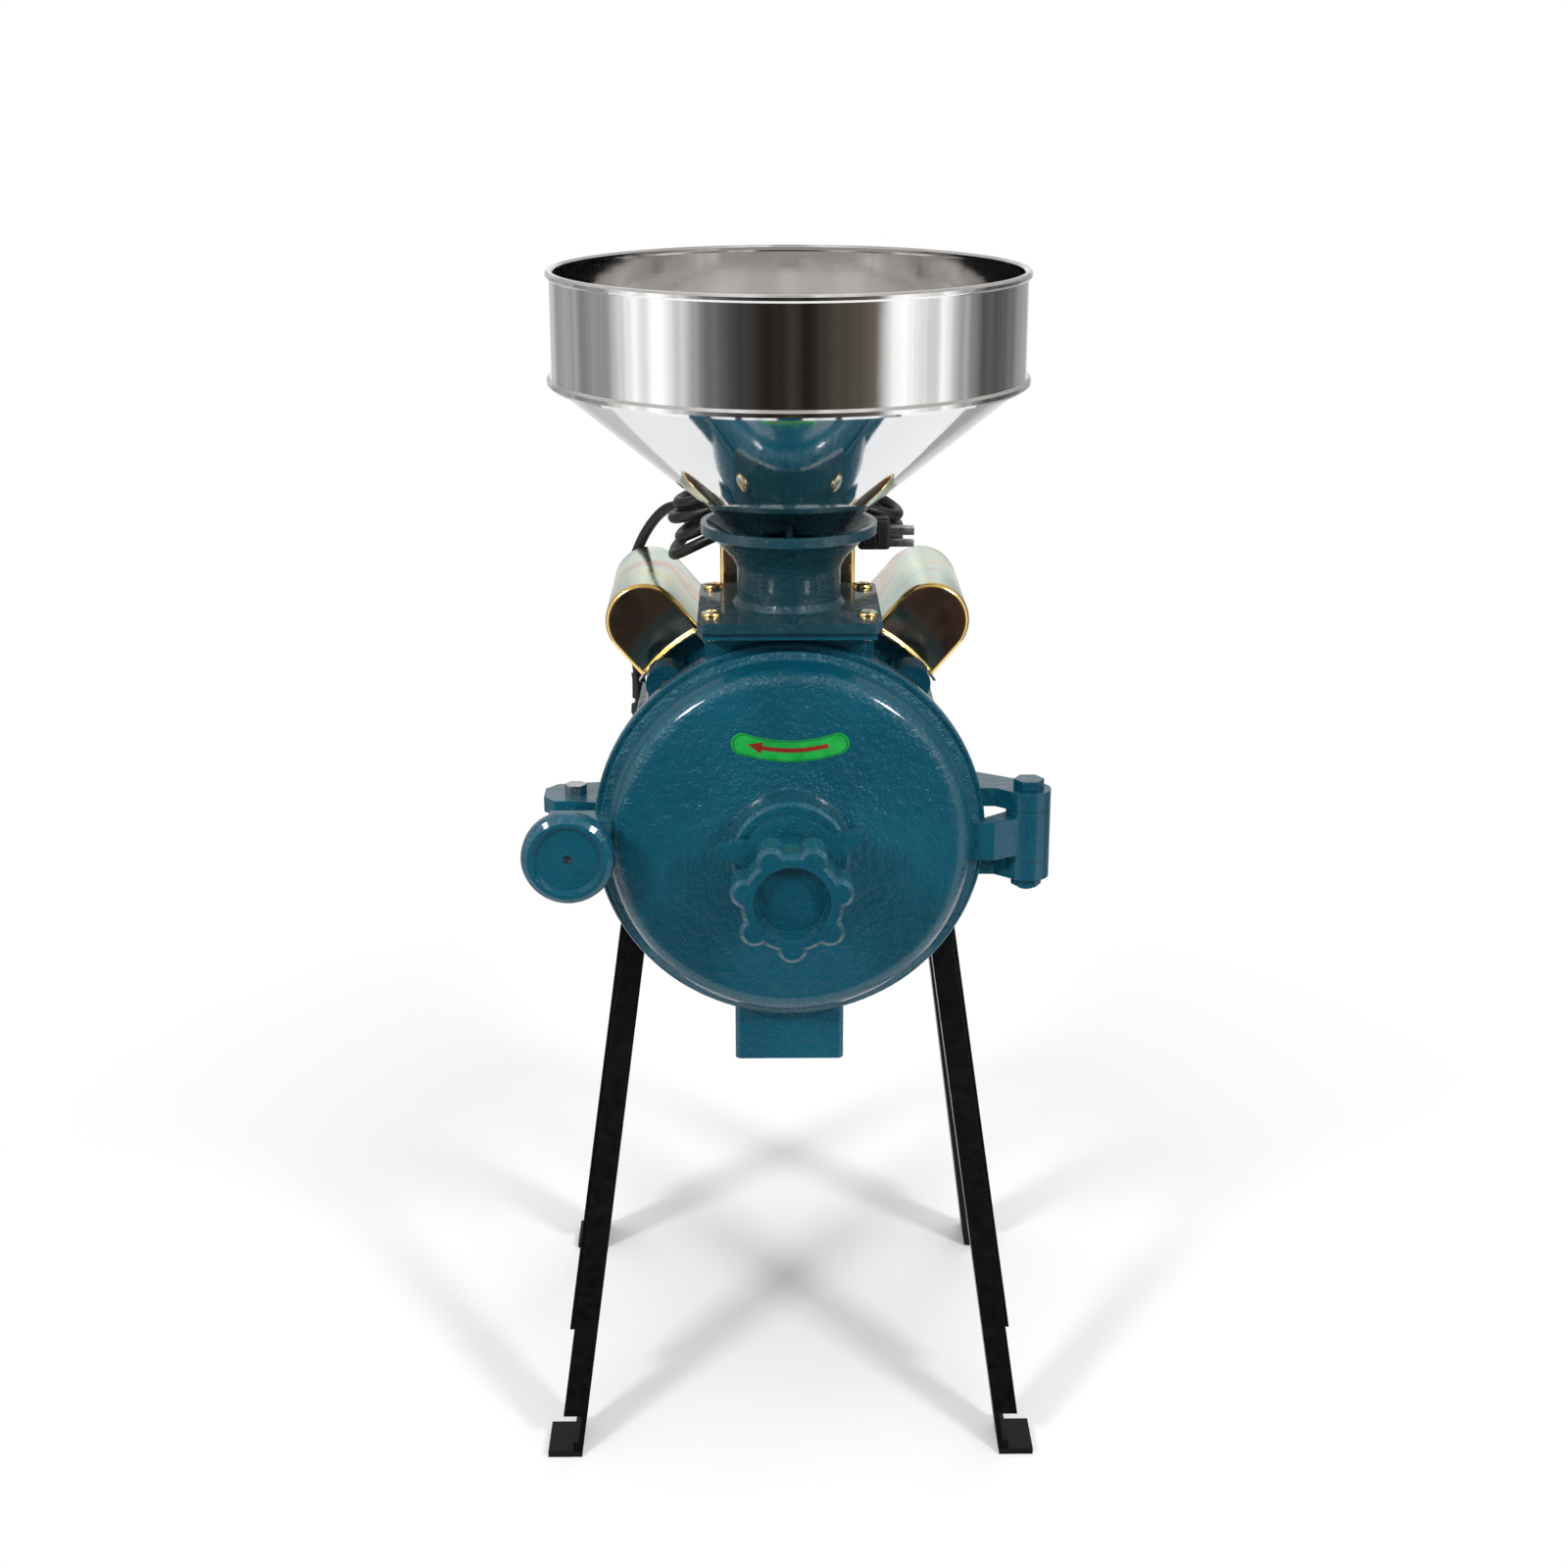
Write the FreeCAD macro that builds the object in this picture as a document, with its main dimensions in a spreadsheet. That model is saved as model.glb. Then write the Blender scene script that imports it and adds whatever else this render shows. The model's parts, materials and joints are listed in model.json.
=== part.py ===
import FreeCAD, Part
import math
import os
import re
import Sketcher
from FreeCAD import Rotation, Vector

# Electric grain mill on four legs, in millimetres.
# The part stands on the floor plane, +Z up, and its front faces -Y.
# Most pieces are drawn in the mill frame: y is measured from the hopper axis,
# z from the axis of the shaft. The sheet holds every size.

SIZES = {
    # where the mill frame lies in the part
    "axis_y": -31, "axis_z": 386,
    # hopper, whose cone ends a little below the top of the inlet's flare
    "cone_sink": 8, "band_height": 63, "band_radius": 138, "sheet_wall": 1.2,
    "rim_bead": 2.2, "ring_bead": 2.8, "cone_drop": 93, "spigot_radius": 26, "spigot_depth": 27,
    # inlet casting
    "plate_top": 520.7, "plate_thick": 6, "plate_width": 108, "plate_depth": 106, "plate_offset": -3,
    "neck_radius": 31, "neck_bore": 26.6, "flare_radius": 52.5, "flare_low": 547, "flare_high": 564,
    "flare_top": 570, "flare_wall": 3.5, "screw_span_x": 92, "screw_span_y": 72, "inlet_screw": 3,
    "screw_offset": 2, "inlet_head": 6, "set_screw": 2.6, "set_screw_rise": 10,
    # milling chamber, y from the hopper axis
    "housing_rim": 118, "drum_radius": 114.5, "drum_wall": 107, "chamber_radius": 99, "parting_y": -36, "rim_thick": 7,
    "back_inner": 28, "back_outer": 36, "platform_low": 510, "saddle_width": 100,
    "spout_width": 67, "spout_depth": 40, "spout_bottom": 237.5, "spout_wall": 5,
    "ear_reach": 119.5, "ear_width": 24, "ear_thick": 10, "ear_hole_radius": 106, "flange_bolt": 4,
    "barrel_radius": 33, "barrel_wall": 4, "barrel_front": -17, "chute_half": 24,
    # cover
    "cover_front": -60, "cover_wall": 6, "cover_side": 108.5, "cover_shoulder": 12, "seam": 0.3,
    "boss_radius": 35, "boss_front": -84, "spindle_radius": 9,
    # hinge
    "hinge_x": 144.5, "hinge_y": -28, "hinge_z": -2, "knuckle_radius": 13.5, "knuckle_half": 15.75,
    "lug_thick": 11.5, "hinge_bolt_radius": 5,
    # latch
    "latch_x": -130.5, "latch_y": -4, "latch_z": 0, "latch_gap_half": 6.5, "latch_lug": 9.5,
    "latch_pin_radius": 4, "eye_bolt_radius": 5, "eye_radius": 10, "latch_lug_half": 17,
    "latch_knob_radius": 27.5, "latch_knob_back": -66.5, "latch_knob_front": -86,
    "latch_dish_radius": 20, "latch_dish_depth": 3, "ear_seat": -60, "ear_seat_width": 44,
    "ear_half": 15, "ear_middle": -122,
    # star knob and lock nut
    "lock_nut_radius": 29, "lock_nut_thick": 8, "lock_ear_reach": 46, "star_front": -159,
    "star_thick": 20, "star_valley": 29, "star_lobe": 8.5, "star_lobe_at": 27, "star_count": 7,
    "star_recess": 21.8, "star_recess_depth": 9, "star_hub": 19, "star_hub_front": 27,
    # grinding discs, gap between the tooth tips at rest
    "disc_radius": 85, "disc_eye": 34, "disc_plate": 6, "tooth_height": 2, "tooth_count": 24,
    "tooth_width": 4, "disc_gap": 0.6, "disc_meet": -36.5, "carrier_thick": 5.5, "spider_thick": 8,
    "hub_radius": 16,
    # shaft, auger, bearings
    "shaft_radius": 9.5, "auger_radius": 30, "auger_hub": 14, "auger_pitch": 26, "auger_front": -18,
    "auger_back": 24, "flight_thick": 4, "bearing_radius": 20, "bearing_width": 12,
    # motor, y from the hopper axis
    "motor_radius": 96, "fin_tip": 104, "fin_count": 36, "fin_thick": 2.6, "motor_front": 58,
    "motor_back": 176, "shield_back": 190, "fan_cover_back": 221, "motor_wall": 8,
    "stator_inner": 55, "stator_front": 82, "stator_back": 152, "winding_reach": 16,
    "air_gap": 0.5, "fan_radius": 80, "rear_radius": 90, "fan_cover_radius": 92, "fan_cover_wall": 1.6,
    # capacitor covers on the motor, at an angle up from the shaft axis
    "cap_angle": 49.5, "cap_centre": 139, "cap_half": 24.5, "cap_base": 115, "cap_front": 66,
    "cap_length": 115, "cap_wall": 1.2, "cap_lip": 4,
    # terminal box
    "box_width": 84, "box_depth": 58, "box_front": 62, "box_height": 157, "box_floor": 104,
    # base tray and legs, heights from the floor
    "tray_low": 276, "tray_thick": 4, "tray_half": 93, "tray_front": 47, "tray_back": 165,
    "flange_top": 314,
    "splay": 0.134, "front_rake": -0.49, "rear_rake": 0.14, "leg_front_y": 47, "leg_rear_y": 118,
    "leg_side": 34, "leg_face": 14.8, "leg_wall": 3.5, "base_bolt": 4, "foot_out": 21, "foot_thick": 4,
    "notch_height": 22, "rear_flange_cut": 56, "leg_bolt": 4,
    # cord
    "cord_radius": 3.5, "gland_x": -99.5, "gland_y": 183, "hank_half": 74, "hank_front": 66,
    "hank_depth": 54, "hank_thick": 33,
}

doc = FreeCAD.newDocument("GrainMill")
sheet = doc.addObject("Spreadsheet::Sheet", "Sizes")
for row, (alias, number) in enumerate(SIZES.items(), start=1):
    sheet.set(f"A{row}", alias)
    sheet.set(f"B{row}", str(number))
    sheet.setAlias(f"B{row}", alias)
doc.recompute()

parts = {}


def bound(text):
    """The expression with each size name pointing at its cell."""
    return re.sub(r"[a-z_]+", lambda word: f"Sizes.{word[0]}" if word[0] in SIZES else word[0], str(text))


def value(text):
    """The number that an expression gives now."""
    return float(sheet.evalExpression(bound(text)))


def place(item, x=0, y=0, z=0, turn=None):
    """Bind a position in the mill frame, with an optional fixed rotation."""
    if turn is not None:
        item.Placement.Rotation = turn
    item.setExpression("Placement.Base.x", bound(x))
    item.setExpression("Placement.Base.y", bound(f"axis_y + ({y})"))
    item.setExpression("Placement.Base.z", bound(f"axis_z + ({z})"))
    return item


TURNS = {
    "x": Rotation(Vector(0, 1, 0), 90),
    "y": Rotation(Vector(1, 0, 0), -90),
    "z": Rotation(),
}


def cylinder(radius, length, x=0, y=0, z=0, axis="y"):
    """A cylinder that starts at the point and runs along +axis."""
    item = doc.addObject("Part::Cylinder", "Cylinder")
    item.setExpression("Radius", bound(radius))
    item.setExpression("Height", bound(length))
    return place(item, x, y, z, TURNS[axis])


def cone(start, end, length, x=0, y=0, z=0, axis="y"):
    item = doc.addObject("Part::Cone", "Cone")
    item.setExpression("Radius1", bound(start))
    item.setExpression("Radius2", bound(end))
    item.setExpression("Height", bound(length))
    return place(item, x, y, z, TURNS[axis])


def block(width, depth, height, x=0, y=0, z=0):
    """A box with its middle at x, its front at y and its bottom at z."""
    item = doc.addObject("Part::Box", "Box")
    item.setExpression("Length", bound(width))
    item.setExpression("Width", bound(depth))
    item.setExpression("Height", bound(height))
    return place(item, f"({x}) - ({width})/2", y, z)


def ring_bead(radius, thickness, z):
    """A rolled bead of eight flats round the hopper axis."""
    corners = []
    for index in range(8):
        turn = math.radians(22.5 + 45 * index)
        across, up = math.cos(turn) / math.cos(math.pi / 8), math.sin(turn) / math.cos(math.pi / 8)
        corners.append((f"{radius} + {across:.5f}*{thickness}", f"{z} + {up:.5f}*{thickness}"))
    return revolved(corners, "z")


def hexagon(across, length, x=0, y=0, z=0, axis="y"):
    """A hexagonal prism, across its flats, that runs along +axis."""
    item = doc.addObject("Part::Prism", "Hexagon")
    item.Polygon = 6
    item.setExpression("Circumradius", bound(f"({across})/sqrt(3)"))
    item.setExpression("Height", bound(length))
    return place(item, x, y, z, TURNS[axis])


def fuse(*items):
    item = doc.addObject("Part::MultiFuse", "Fusion")
    item.Shapes = list(items)
    item.Refine = True
    return item


def cut(base, *tools):
    item = doc.addObject("Part::Cut", "Cut")
    item.Base = base
    item.Tool = tools[0] if len(tools) == 1 else fuse(*tools)
    item.Refine = True
    return item


def common(first, second):
    item = doc.addObject("Part::MultiCommon", "Common")
    item.Shapes = [first, second]
    item.Refine = True
    return item


def group(*items):
    """Separate solids that share one node."""
    item = doc.addObject("Part::Compound", "Group")
    item.Links = list(items)
    return item


def turned(item, angle, y_axis=True):
    """A copy of an item turned about the shaft axis."""
    copy = doc.addObject("Part::Feature", "Turned")
    doc.recompute()
    centre = Vector(0, value("axis_y"), value("axis_z"))
    copy.Shape = item.Shape.rotated(centre, Vector(0, 1, 0), angle)
    return copy


def publish(name, item):
    item.Label = name
    parts[name] = item
    return item


def new_body():
    return doc.addObject("PartDesign::Body", "Body")


def new_sketch(body, role):
    sketch = body.newObject("Sketcher::SketchObject", "Sketch")
    plane = next(feature for feature in body.Origin.OriginFeatures if feature.Role == role)
    sketch.AttachmentSupport = [(plane, "")]
    sketch.MapMode = "FlatFace"
    return sketch


def outline(sketch, corners):
    """A closed outline whose corners are each bound to the sheet."""
    points = [Vector(value(x), value(y), 0) for x, y in corners]
    count = len(points)
    for index in range(count):
        sketch.addGeometry(Part.LineSegment(points[index], points[(index + 1) % count]), False)
    for index in range(count):
        sketch.addConstraint(Sketcher.Constraint("Coincident", index, 2, (index + 1) % count, 1))
    for index, corner in enumerate(corners):
        for kind, text in zip(("DistanceX", "DistanceY"), corner):
            here = value(text)
            made = sketch.addConstraint(Sketcher.Constraint(kind, -1, 1, index, 1, here))
            sketch.setExpression(f"Constraints[{made}]", bound(text))
    return sketch


def revolved(corners, axis):
    """A body turned about the mill's y axis, or about the vertical z axis.

    Corners are (y, radius) for axis y and (radius, z) for axis z.
    """
    body = new_body()
    sketch = outline(new_sketch(body, "YZ_Plane" if axis == "y" else "XZ_Plane"), corners)
    turn = body.newObject("PartDesign::Revolution", "Revolution")
    turn.Profile = sketch
    turn.ReferenceAxis = (sketch, ["H_Axis" if axis == "y" else "V_Axis"])
    turn.Angle = 360
    body.Tip = turn
    return place(body)


def padded(corners, role, length, offset=0):
    """A body padded from an origin plane; XZ pads run to -Y, XY to +Z, YZ to +X."""
    body = new_body()
    sketch = outline(new_sketch(body, role), corners)
    sketch.setExpression("AttachmentOffset.Base.z", bound(offset))
    pad = body.newObject("PartDesign::Pad", "Pad")
    pad.Profile = sketch
    pad.setExpression("Length", bound(length))
    body.Tip = pad
    return place(body)


def rounded(item, radius, test):
    """A fillet on every edge of the item that passes the test."""
    doc.recompute()
    fillet = doc.addObject("Part::Fillet", "Fillet")
    fillet.Base = item
    size = value(radius)
    edges = enumerate(item.Shape.Edges, start=1)
    fillet.Edges = [(number, size, size) for number, edge in edges if test(edge)]
    return fillet


def vertical(edge):
    ends = [vertex.Point for vertex in edge.Vertexes]
    return len(ends) == 2 and abs(ends[0].x - ends[1].x) + abs(ends[0].y - ends[1].y) < 0.01


def along_y(edge):
    ends = [vertex.Point for vertex in edge.Vertexes]
    return len(ends) == 2 and abs(ends[0].x - ends[1].x) + abs(ends[0].z - ends[1].z) < 0.01


def make_hopper():
    """Rolled band, lower ring and cone of polished sheet, with the spigot below."""
    band = "flare_top - cone_sink + cone_drop - axis_z"
    top = f"{band} + band_height - rim_bead"
    low = f"{band} - cone_drop"
    inner = "band_radius - sheet_wall"
    skin = revolved([
        ("band_radius", top), (inner, top), (inner, band),
        ("spigot_radius - sheet_wall", low), ("spigot_radius - sheet_wall", f"{low} - spigot_depth"),
        ("spigot_radius", f"{low} - spigot_depth"), ("spigot_radius", f"{low} - sheet_wall"),
        ("band_radius", f"{band} - sheet_wall"),
    ], "z")
    rim = ring_bead("band_radius", "rim_bead", top)
    ring = ring_bead("band_radius", "ring_bead", band)
    cavity = cylinder(inner, "2*ring_bead + 2", 0, 0, f"{band} + 0.01", "z")
    publish("hopper", fuse(skin, rim, cut(ring, cavity)))


def inlet_screw_spots():
    return [(f"{a}*screw_span_x/2", f"screw_offset + {b}*screw_span_y/2")
            for a in (-1, 1) for b in (-1, 1)]


def make_inlet():
    """Flared neck on a square plate, the way in for the grain."""
    low = "plate_top - plate_thick - axis_z"
    neck = revolved([
        ("neck_radius + 3", "plate_top - 0.5 - axis_z"), ("neck_radius", "plate_top + 4 - axis_z"),
        ("neck_radius", "flare_low - 4 - axis_z"), ("neck_radius + 3", "flare_low + 2 - axis_z"),
        ("flare_radius - 7", "flare_high - 3 - axis_z"), ("flare_radius", "flare_high - axis_z"),
        ("flare_radius", "flare_top - axis_z"), ("flare_radius - flare_wall", "flare_top - axis_z"),
        ("neck_bore + 3", "flare_low + 5 - axis_z"), ("neck_bore", "flare_low - axis_z"),
        ("neck_bore", low), ("neck_radius + 3", low),
    ], "z")
    plate = block("plate_width", "plate_depth", "plate_thick", 0, "plate_offset - plate_depth/2", low)
    plate = rounded(plate, "6", vertical)
    bore = cylinder("neck_bore", "plate_thick + 2", 0, 0, f"{low} - 1", "z")
    holes = [cylinder("inlet_screw", "plate_thick + 2", x, y, f"{low} - 1", "z")
             for x, y in inlet_screw_spots()]
    tapped = cylinder("set_screw", "neck_radius + 16", 0, "-neck_radius - 16",
                      "flare_low + set_screw_rise - axis_z")
    publish("inlet_casting", cut(fuse(neck, cut(plate, bore)), tapped, *holes))
    heads = [fuse(cylinder("inlet_screw - 0.01", "plate_thick + 9", x, y, f"{low} - 9", "z"),
                  cone("inlet_head", "inlet_head - 1.4", 2.6, x, y, "plate_top - axis_z", "z"))
             for x, y in inlet_screw_spots()]
    publish("inlet_screws", group(*heads))
    publish("hopper_set_screw", cylinder("set_screw - 0.01", "neck_radius + 9 - spigot_radius - 0.3",
                                         0, "-neck_radius - 9", "flare_low + set_screw_rise - axis_z"))


def motor_ears(front):
    """Four rounded ears on a casting, at 45 degrees, with their bolt holes."""
    arm = fuse(block("ear_width", "ear_thick", "ear_reach - ear_width/2 - 60", 0, front, 60),
               cylinder("ear_width/2", "ear_thick", 0, front, "ear_reach - ear_width/2"))
    return [turned(arm, angle) for angle in (45, 135, 225, 315)]


def flange_holes(radius, front, length):
    hole = cylinder(radius, length, 0, front, "ear_hole_radius")
    return [turned(hole, angle) for angle in (45, 135, 225, 315)]


def make_housing():
    """Cast milling chamber with its saddle, spout, hinge lugs and latch fork."""
    drum = revolved([
        ("parting_y", "chamber_radius"), ("parting_y", "housing_rim - 1"),
        ("parting_y + 1", "housing_rim"), ("parting_y + rim_thick", "housing_rim"),
        ("parting_y + rim_thick + 3", "drum_wall"), ("back_outer - 6", "drum_wall"),
        ("back_outer", "drum_wall - 6"), ("back_outer", "bearing_radius"),
        ("back_inner", "bearing_radius"), ("back_inner", "chamber_radius"),
    ], "y")
    saddle_front = "parting_y + rim_thick"
    saddle = block("saddle_width", f"back_outer - ({saddle_front})",
                   "platform_low - axis_z - 80", 0, saddle_front, 80)
    platform = block("plate_width - 6", "plate_depth - 4", "plate_top - plate_thick - platform_low",
                     0, "plate_offset - plate_depth/2 + 4", "platform_low - axis_z")
    spout_front = "parting_y + 1.5"
    spout = rounded(block("spout_width", "spout_depth", "axis_z - 80 - spout_bottom", 0, spout_front,
                          "spout_bottom - axis_z"), "4", vertical)
    barrel = cylinder("barrel_radius + barrel_wall", "back_inner - barrel_front", 0, "barrel_front")
    chute = block("2*chute_half + 8", "back_inner - barrel_front", "platform_low - axis_z - 20",
                  0, "barrel_front", 20)
    cavity = cylinder("chamber_radius", "back_inner - parting_y", 0, "parting_y")
    shell = fuse(drum, cut(fuse(saddle, spout), cavity), platform,
                 common(fuse(barrel, chute), cylinder("drum_wall", 100, 0, "barrel_front")))
    lugs = [*hinge_lugs(), *latch_lugs()]
    body = fuse(shell, *lugs, *motor_ears("back_outer - ear_thick"))
    chute_top = "plate_top - axis_z"
    tools = [
        cylinder("barrel_radius", "back_inner - barrel_front + 1", 0, "barrel_front - 1"),
        block("2*chute_half", "back_inner - barrel_front - 4", chute_top, 0, "barrel_front + 4", 0),
        block("spout_width - 2*spout_wall", "spout_depth - 2*spout_wall", "axis_z - 90 - spout_bottom",
              0, f"{spout_front} + spout_wall", "spout_bottom - axis_z - 1"),
        cylinder("hinge_bolt_radius + 0.1", 100, "hinge_x", "hinge_y", "hinge_z - 50", "z"),
        cylinder("latch_pin_radius", 60, "latch_x", "latch_y", "latch_z - 30", "z"),
        *[cylinder("inlet_screw", 16, x, y, "plate_top - axis_z - 18", "z")
          for x, y in inlet_screw_spots()],
        *flange_holes("flange_bolt", "back_outer - ear_thick - 1", "ear_thick + 2"),
    ]
    publish("mill_housing", cut(body, *tools))


def hinge_lugs():
    """Two lugs that hold the hinge bolt above and below the cover's knuckle."""
    lugs = []
    for low in ("hinge_z + knuckle_half + seam", "hinge_z - knuckle_half - seam - lug_thick"):
        knuckle = cylinder("knuckle_radius", "lug_thick", "hinge_x", "hinge_y", low, "z")
        arm = padded([
            ("drum_wall - 12", "parting_y + rim_thick + 1"), ("hinge_x - 20", "parting_y + rim_thick + 1"),
            ("hinge_x - 6", "hinge_y - knuckle_radius + 1.5"),
            ("hinge_x + 4", "hinge_y + knuckle_radius - 1"), ("drum_wall - 12", "hinge_y + 46"),
        ], "XY_Plane", "lug_thick", low)
        lugs += [knuckle, arm]
    return lugs


def latch_lugs():
    """The fork whose pin carries the swinging eye bolt."""
    lugs = []
    for low in ("latch_z + latch_gap_half", "latch_z - latch_gap_half - latch_lug"):
        arm = padded([
            ("-drum_wall + 14", "latch_y - latch_lug_half - 8"), ("latch_x", "latch_y - latch_lug_half"),
            ("latch_x - 12", "latch_y - latch_lug_half"), ("latch_x - 19", "latch_y - 8"),
            ("latch_x - 19", "latch_y + 8"), ("latch_x - 12", "latch_y + latch_lug_half"),
            ("-drum_wall + 14", "latch_y + latch_lug_half + 8"),
        ], "XY_Plane", "latch_lug", low)
        lugs.append(arm)
    return lugs


def make_cover():
    """Dished front cover with its boss, hinge knuckle and slotted latch ear."""
    seat = "parting_y - seam"
    dish = revolved([
        (seat, "drum_radius - 1"), (seat, "chamber_radius"),
        ("cover_front + cover_wall", "chamber_radius - 2"), ("cover_front + cover_wall", "spindle_radius"),
        ("boss_front", "spindle_radius"), ("boss_front", "boss_radius - 2"),
        ("boss_front + 2", "boss_radius"), ("cover_front - 1", "boss_radius + 0.5"),
        ("cover_front", "boss_radius + 3"), ("cover_front", "cover_side - cover_shoulder"),
        ("cover_front + 0.07*cover_shoulder", "cover_side - 0.62*cover_shoulder"),
        ("cover_front + 0.29*cover_shoulder", "cover_side - 0.29*cover_shoulder"),
        ("cover_front + 0.62*cover_shoulder", "cover_side - 0.07*cover_shoulder"),
        ("cover_front + cover_shoulder", "cover_side"),
        (f"{seat} - 7", "cover_side + 1.5"), (f"{seat} - 5.5", "drum_radius"), (f"{seat} - 1", "drum_radius"),
    ], "y")
    knuckle = cylinder("knuckle_radius", "2*knuckle_half", "hinge_x", "hinge_y",
                       "hinge_z - knuckle_half", "z")
    arm = padded([
        ("chamber_radius", "cover_front + 14"), ("hinge_x - 22", "cover_front + 12"),
        ("hinge_x - 7", "hinge_y - knuckle_radius + 2"), ("hinge_x + 2", "hinge_y + knuckle_radius - 3"),
        ("hinge_x - 13", "hinge_y + 3"), ("drum_radius + 3", f"{seat} - 0.5"), ("chamber_radius", f"{seat} - 0.5"),
    ], "XY_Plane", "2*knuckle_half - 8", "hinge_z - knuckle_half + 4")
    ear = block("ear_seat_width", "parting_y - seam - ear_seat", "2*ear_half", "ear_middle",
                "ear_seat", "latch_z - ear_half")
    ear = common(ear, cylinder("latch_y - ear_seat", 60, "latch_x", "latch_y", "latch_z - 30", "z"))
    hollow = cylinder("chamber_radius - 2", "parting_y - cover_front - cover_wall", 0,
                      "cover_front + cover_wall")
    slot = [block("60", 60, "2*eye_bolt_radius + 2", "latch_x - 30", "ear_seat - 10",
                  "latch_z - eye_bolt_radius - 1"),
            cylinder("eye_bolt_radius + 1", 60, "latch_x", "ear_seat - 10", "latch_z")]
    bolt_way = cylinder("hinge_bolt_radius + 0.1", 60, "hinge_x", "hinge_y", "hinge_z - 30", "z")
    publish("cover", cut(fuse(dish, knuckle, arm, ear), hollow, bolt_way, *slot))


def make_hinge_bolt():
    top = "hinge_z + knuckle_half + seam + lug_thick"
    low = "hinge_z - knuckle_half - seam - lug_thick"
    shank = cylinder("hinge_bolt_radius", f"{top} - ({low}) + 8", "hinge_x", "hinge_y", f"{low} - 8", "z")
    head = hexagon("3.2*hinge_bolt_radius", 6, "hinge_x", "hinge_y", top, "z")
    publish("hinge_bolt", fuse(shank, head))
    nut = hexagon("3.2*hinge_bolt_radius", 6, "hinge_x", "hinge_y", f"{low} - 6", "z")
    way = cylinder("hinge_bolt_radius", 8, "hinge_x", "hinge_y", f"{low} - 7", "z")
    publish("hinge_nut", cut(nut, way))


def make_latch():
    top = "latch_z + latch_gap_half + latch_lug"
    pin = fuse(cylinder("latch_pin_radius - 0.01", "2*latch_gap_half + 2*latch_lug + 4", "latch_x",
                        "latch_y", "latch_z - latch_gap_half - latch_lug - 4", "z"),
               hexagon("2.9*latch_pin_radius", 5.5, "latch_x", "latch_y", top, "z"))
    publish("latch_pin", pin)
    eye = cylinder("eye_radius", "2*latch_gap_half - 1", "latch_x", "latch_y",
                   "latch_z - latch_gap_half + 0.5", "z")
    shank = cylinder("eye_bolt_radius", "latch_y - latch_knob_front - 7", "latch_x",
                     "latch_knob_front + 7", "latch_z")
    bore = cylinder("latch_pin_radius + 0.1", 20, "latch_x", "latch_y", "latch_z - 10", "z")
    publish("latch_eye_bolt", cut(fuse(eye, shank), bore))
    washer = cylinder("2.6*eye_bolt_radius", "ear_seat - latch_knob_back - 0.6", "latch_x",
                      "latch_knob_back + 0.3", "latch_z")
    publish("latch_washer", cut(washer, cylinder("eye_bolt_radius + 0.2", 30, "latch_x",
                                                 "latch_knob_back - 5", "latch_z")))
    knob = revolved([
        ("latch_knob_back", "0"), ("latch_knob_back", "0.6*latch_knob_radius"),
        ("latch_knob_back + 0 - 5", "latch_knob_radius - 3"), ("latch_knob_back - 8", "latch_knob_radius"),
        ("latch_knob_front + 5", "latch_knob_radius"), ("latch_knob_front + 2", "latch_knob_radius - 1"),
        ("latch_knob_front", "latch_knob_radius - 4"), ("latch_knob_front", "latch_dish_radius + 1"),
        ("latch_knob_front + latch_dish_depth", "latch_dish_radius - 1"),
        ("latch_knob_front + latch_dish_depth", "0"),
    ], "y")
    place(knob, "latch_x", 0, "latch_z")
    thread = cylinder("eye_bolt_radius + 0.02", 40, "latch_x", "latch_knob_front + 7 - 0.02", "latch_z")
    way = cylinder("2.8", 30, "latch_x", "latch_knob_front - 5", "latch_z")
    publish("latch_knob", cut(knob, thread, way))


def make_adjuster():
    """Spindle, star knob and eared lock nut that set the gap between the discs."""
    carrier_back = "disc_meet - disc_gap/2 - tooth_height - disc_plate"
    nut_back = "boss_front - seam"
    ring = cylinder("lock_nut_radius", "lock_nut_thick", 0, f"{nut_back} - lock_nut_thick")
    ears = []
    for side, lift in ((-1, 14), (1, 20)):
        ear = padded([
            ("lock_nut_radius - 6", "-10"), ("lock_ear_reach - 3", "-1.5"), ("lock_ear_reach", "3"),
            ("lock_ear_reach - 4", "6"), ("lock_nut_radius - 6", "9"),
        ], "XZ_Plane", "lock_nut_thick - 2", f"-({nut_back}) + 1")
        ears.append(turned(ear, -lift if side > 0 else 180 + lift))
    way = cylinder("spindle_radius + 0.3", 40, 0, f"{nut_back} - 30")
    publish("lock_nut", cut(fuse(ring, *ears), way))
    spindle_front = "star_front + star_recess_depth + 3"
    length = f"{carrier_back} - carrier_thick - ({spindle_front})"
    publish("adjusting_spindle", cylinder("spindle_radius - 0.3", length, 0, spindle_front))
    star_back = "star_front + star_thick"
    bevel = 2.5
    disc = fuse(cylinder("star_valley", f"star_thick - {bevel}", 0, f"star_front + {bevel}"),
                cone(f"star_valley - {bevel}", "star_valley", bevel, 0, "star_front"))
    lobe = fuse(cylinder("star_lobe", f"star_thick - {bevel}", 0, f"star_front + {bevel}", "-star_lobe_at"),
                cone(f"star_lobe - {bevel}", "star_lobe", bevel, 0, "star_front", "-star_lobe_at"))
    lobes = [turned(lobe, index * 360 / value("star_count")) for index in range(int(value("star_count")))]
    hub = cone("star_hub_front", "star_hub", f"{nut_back} - lock_nut_thick - 2 - ({star_back})", 0, star_back)
    recess = cone("star_recess", "star_recess - 2", "star_recess_depth", 0, "star_front")
    thread = cylinder("spindle_radius - 0.3", 100, 0, spindle_front)
    publish("star_knob", cut(fuse(disc, *lobes, hub), recess, thread))


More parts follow.
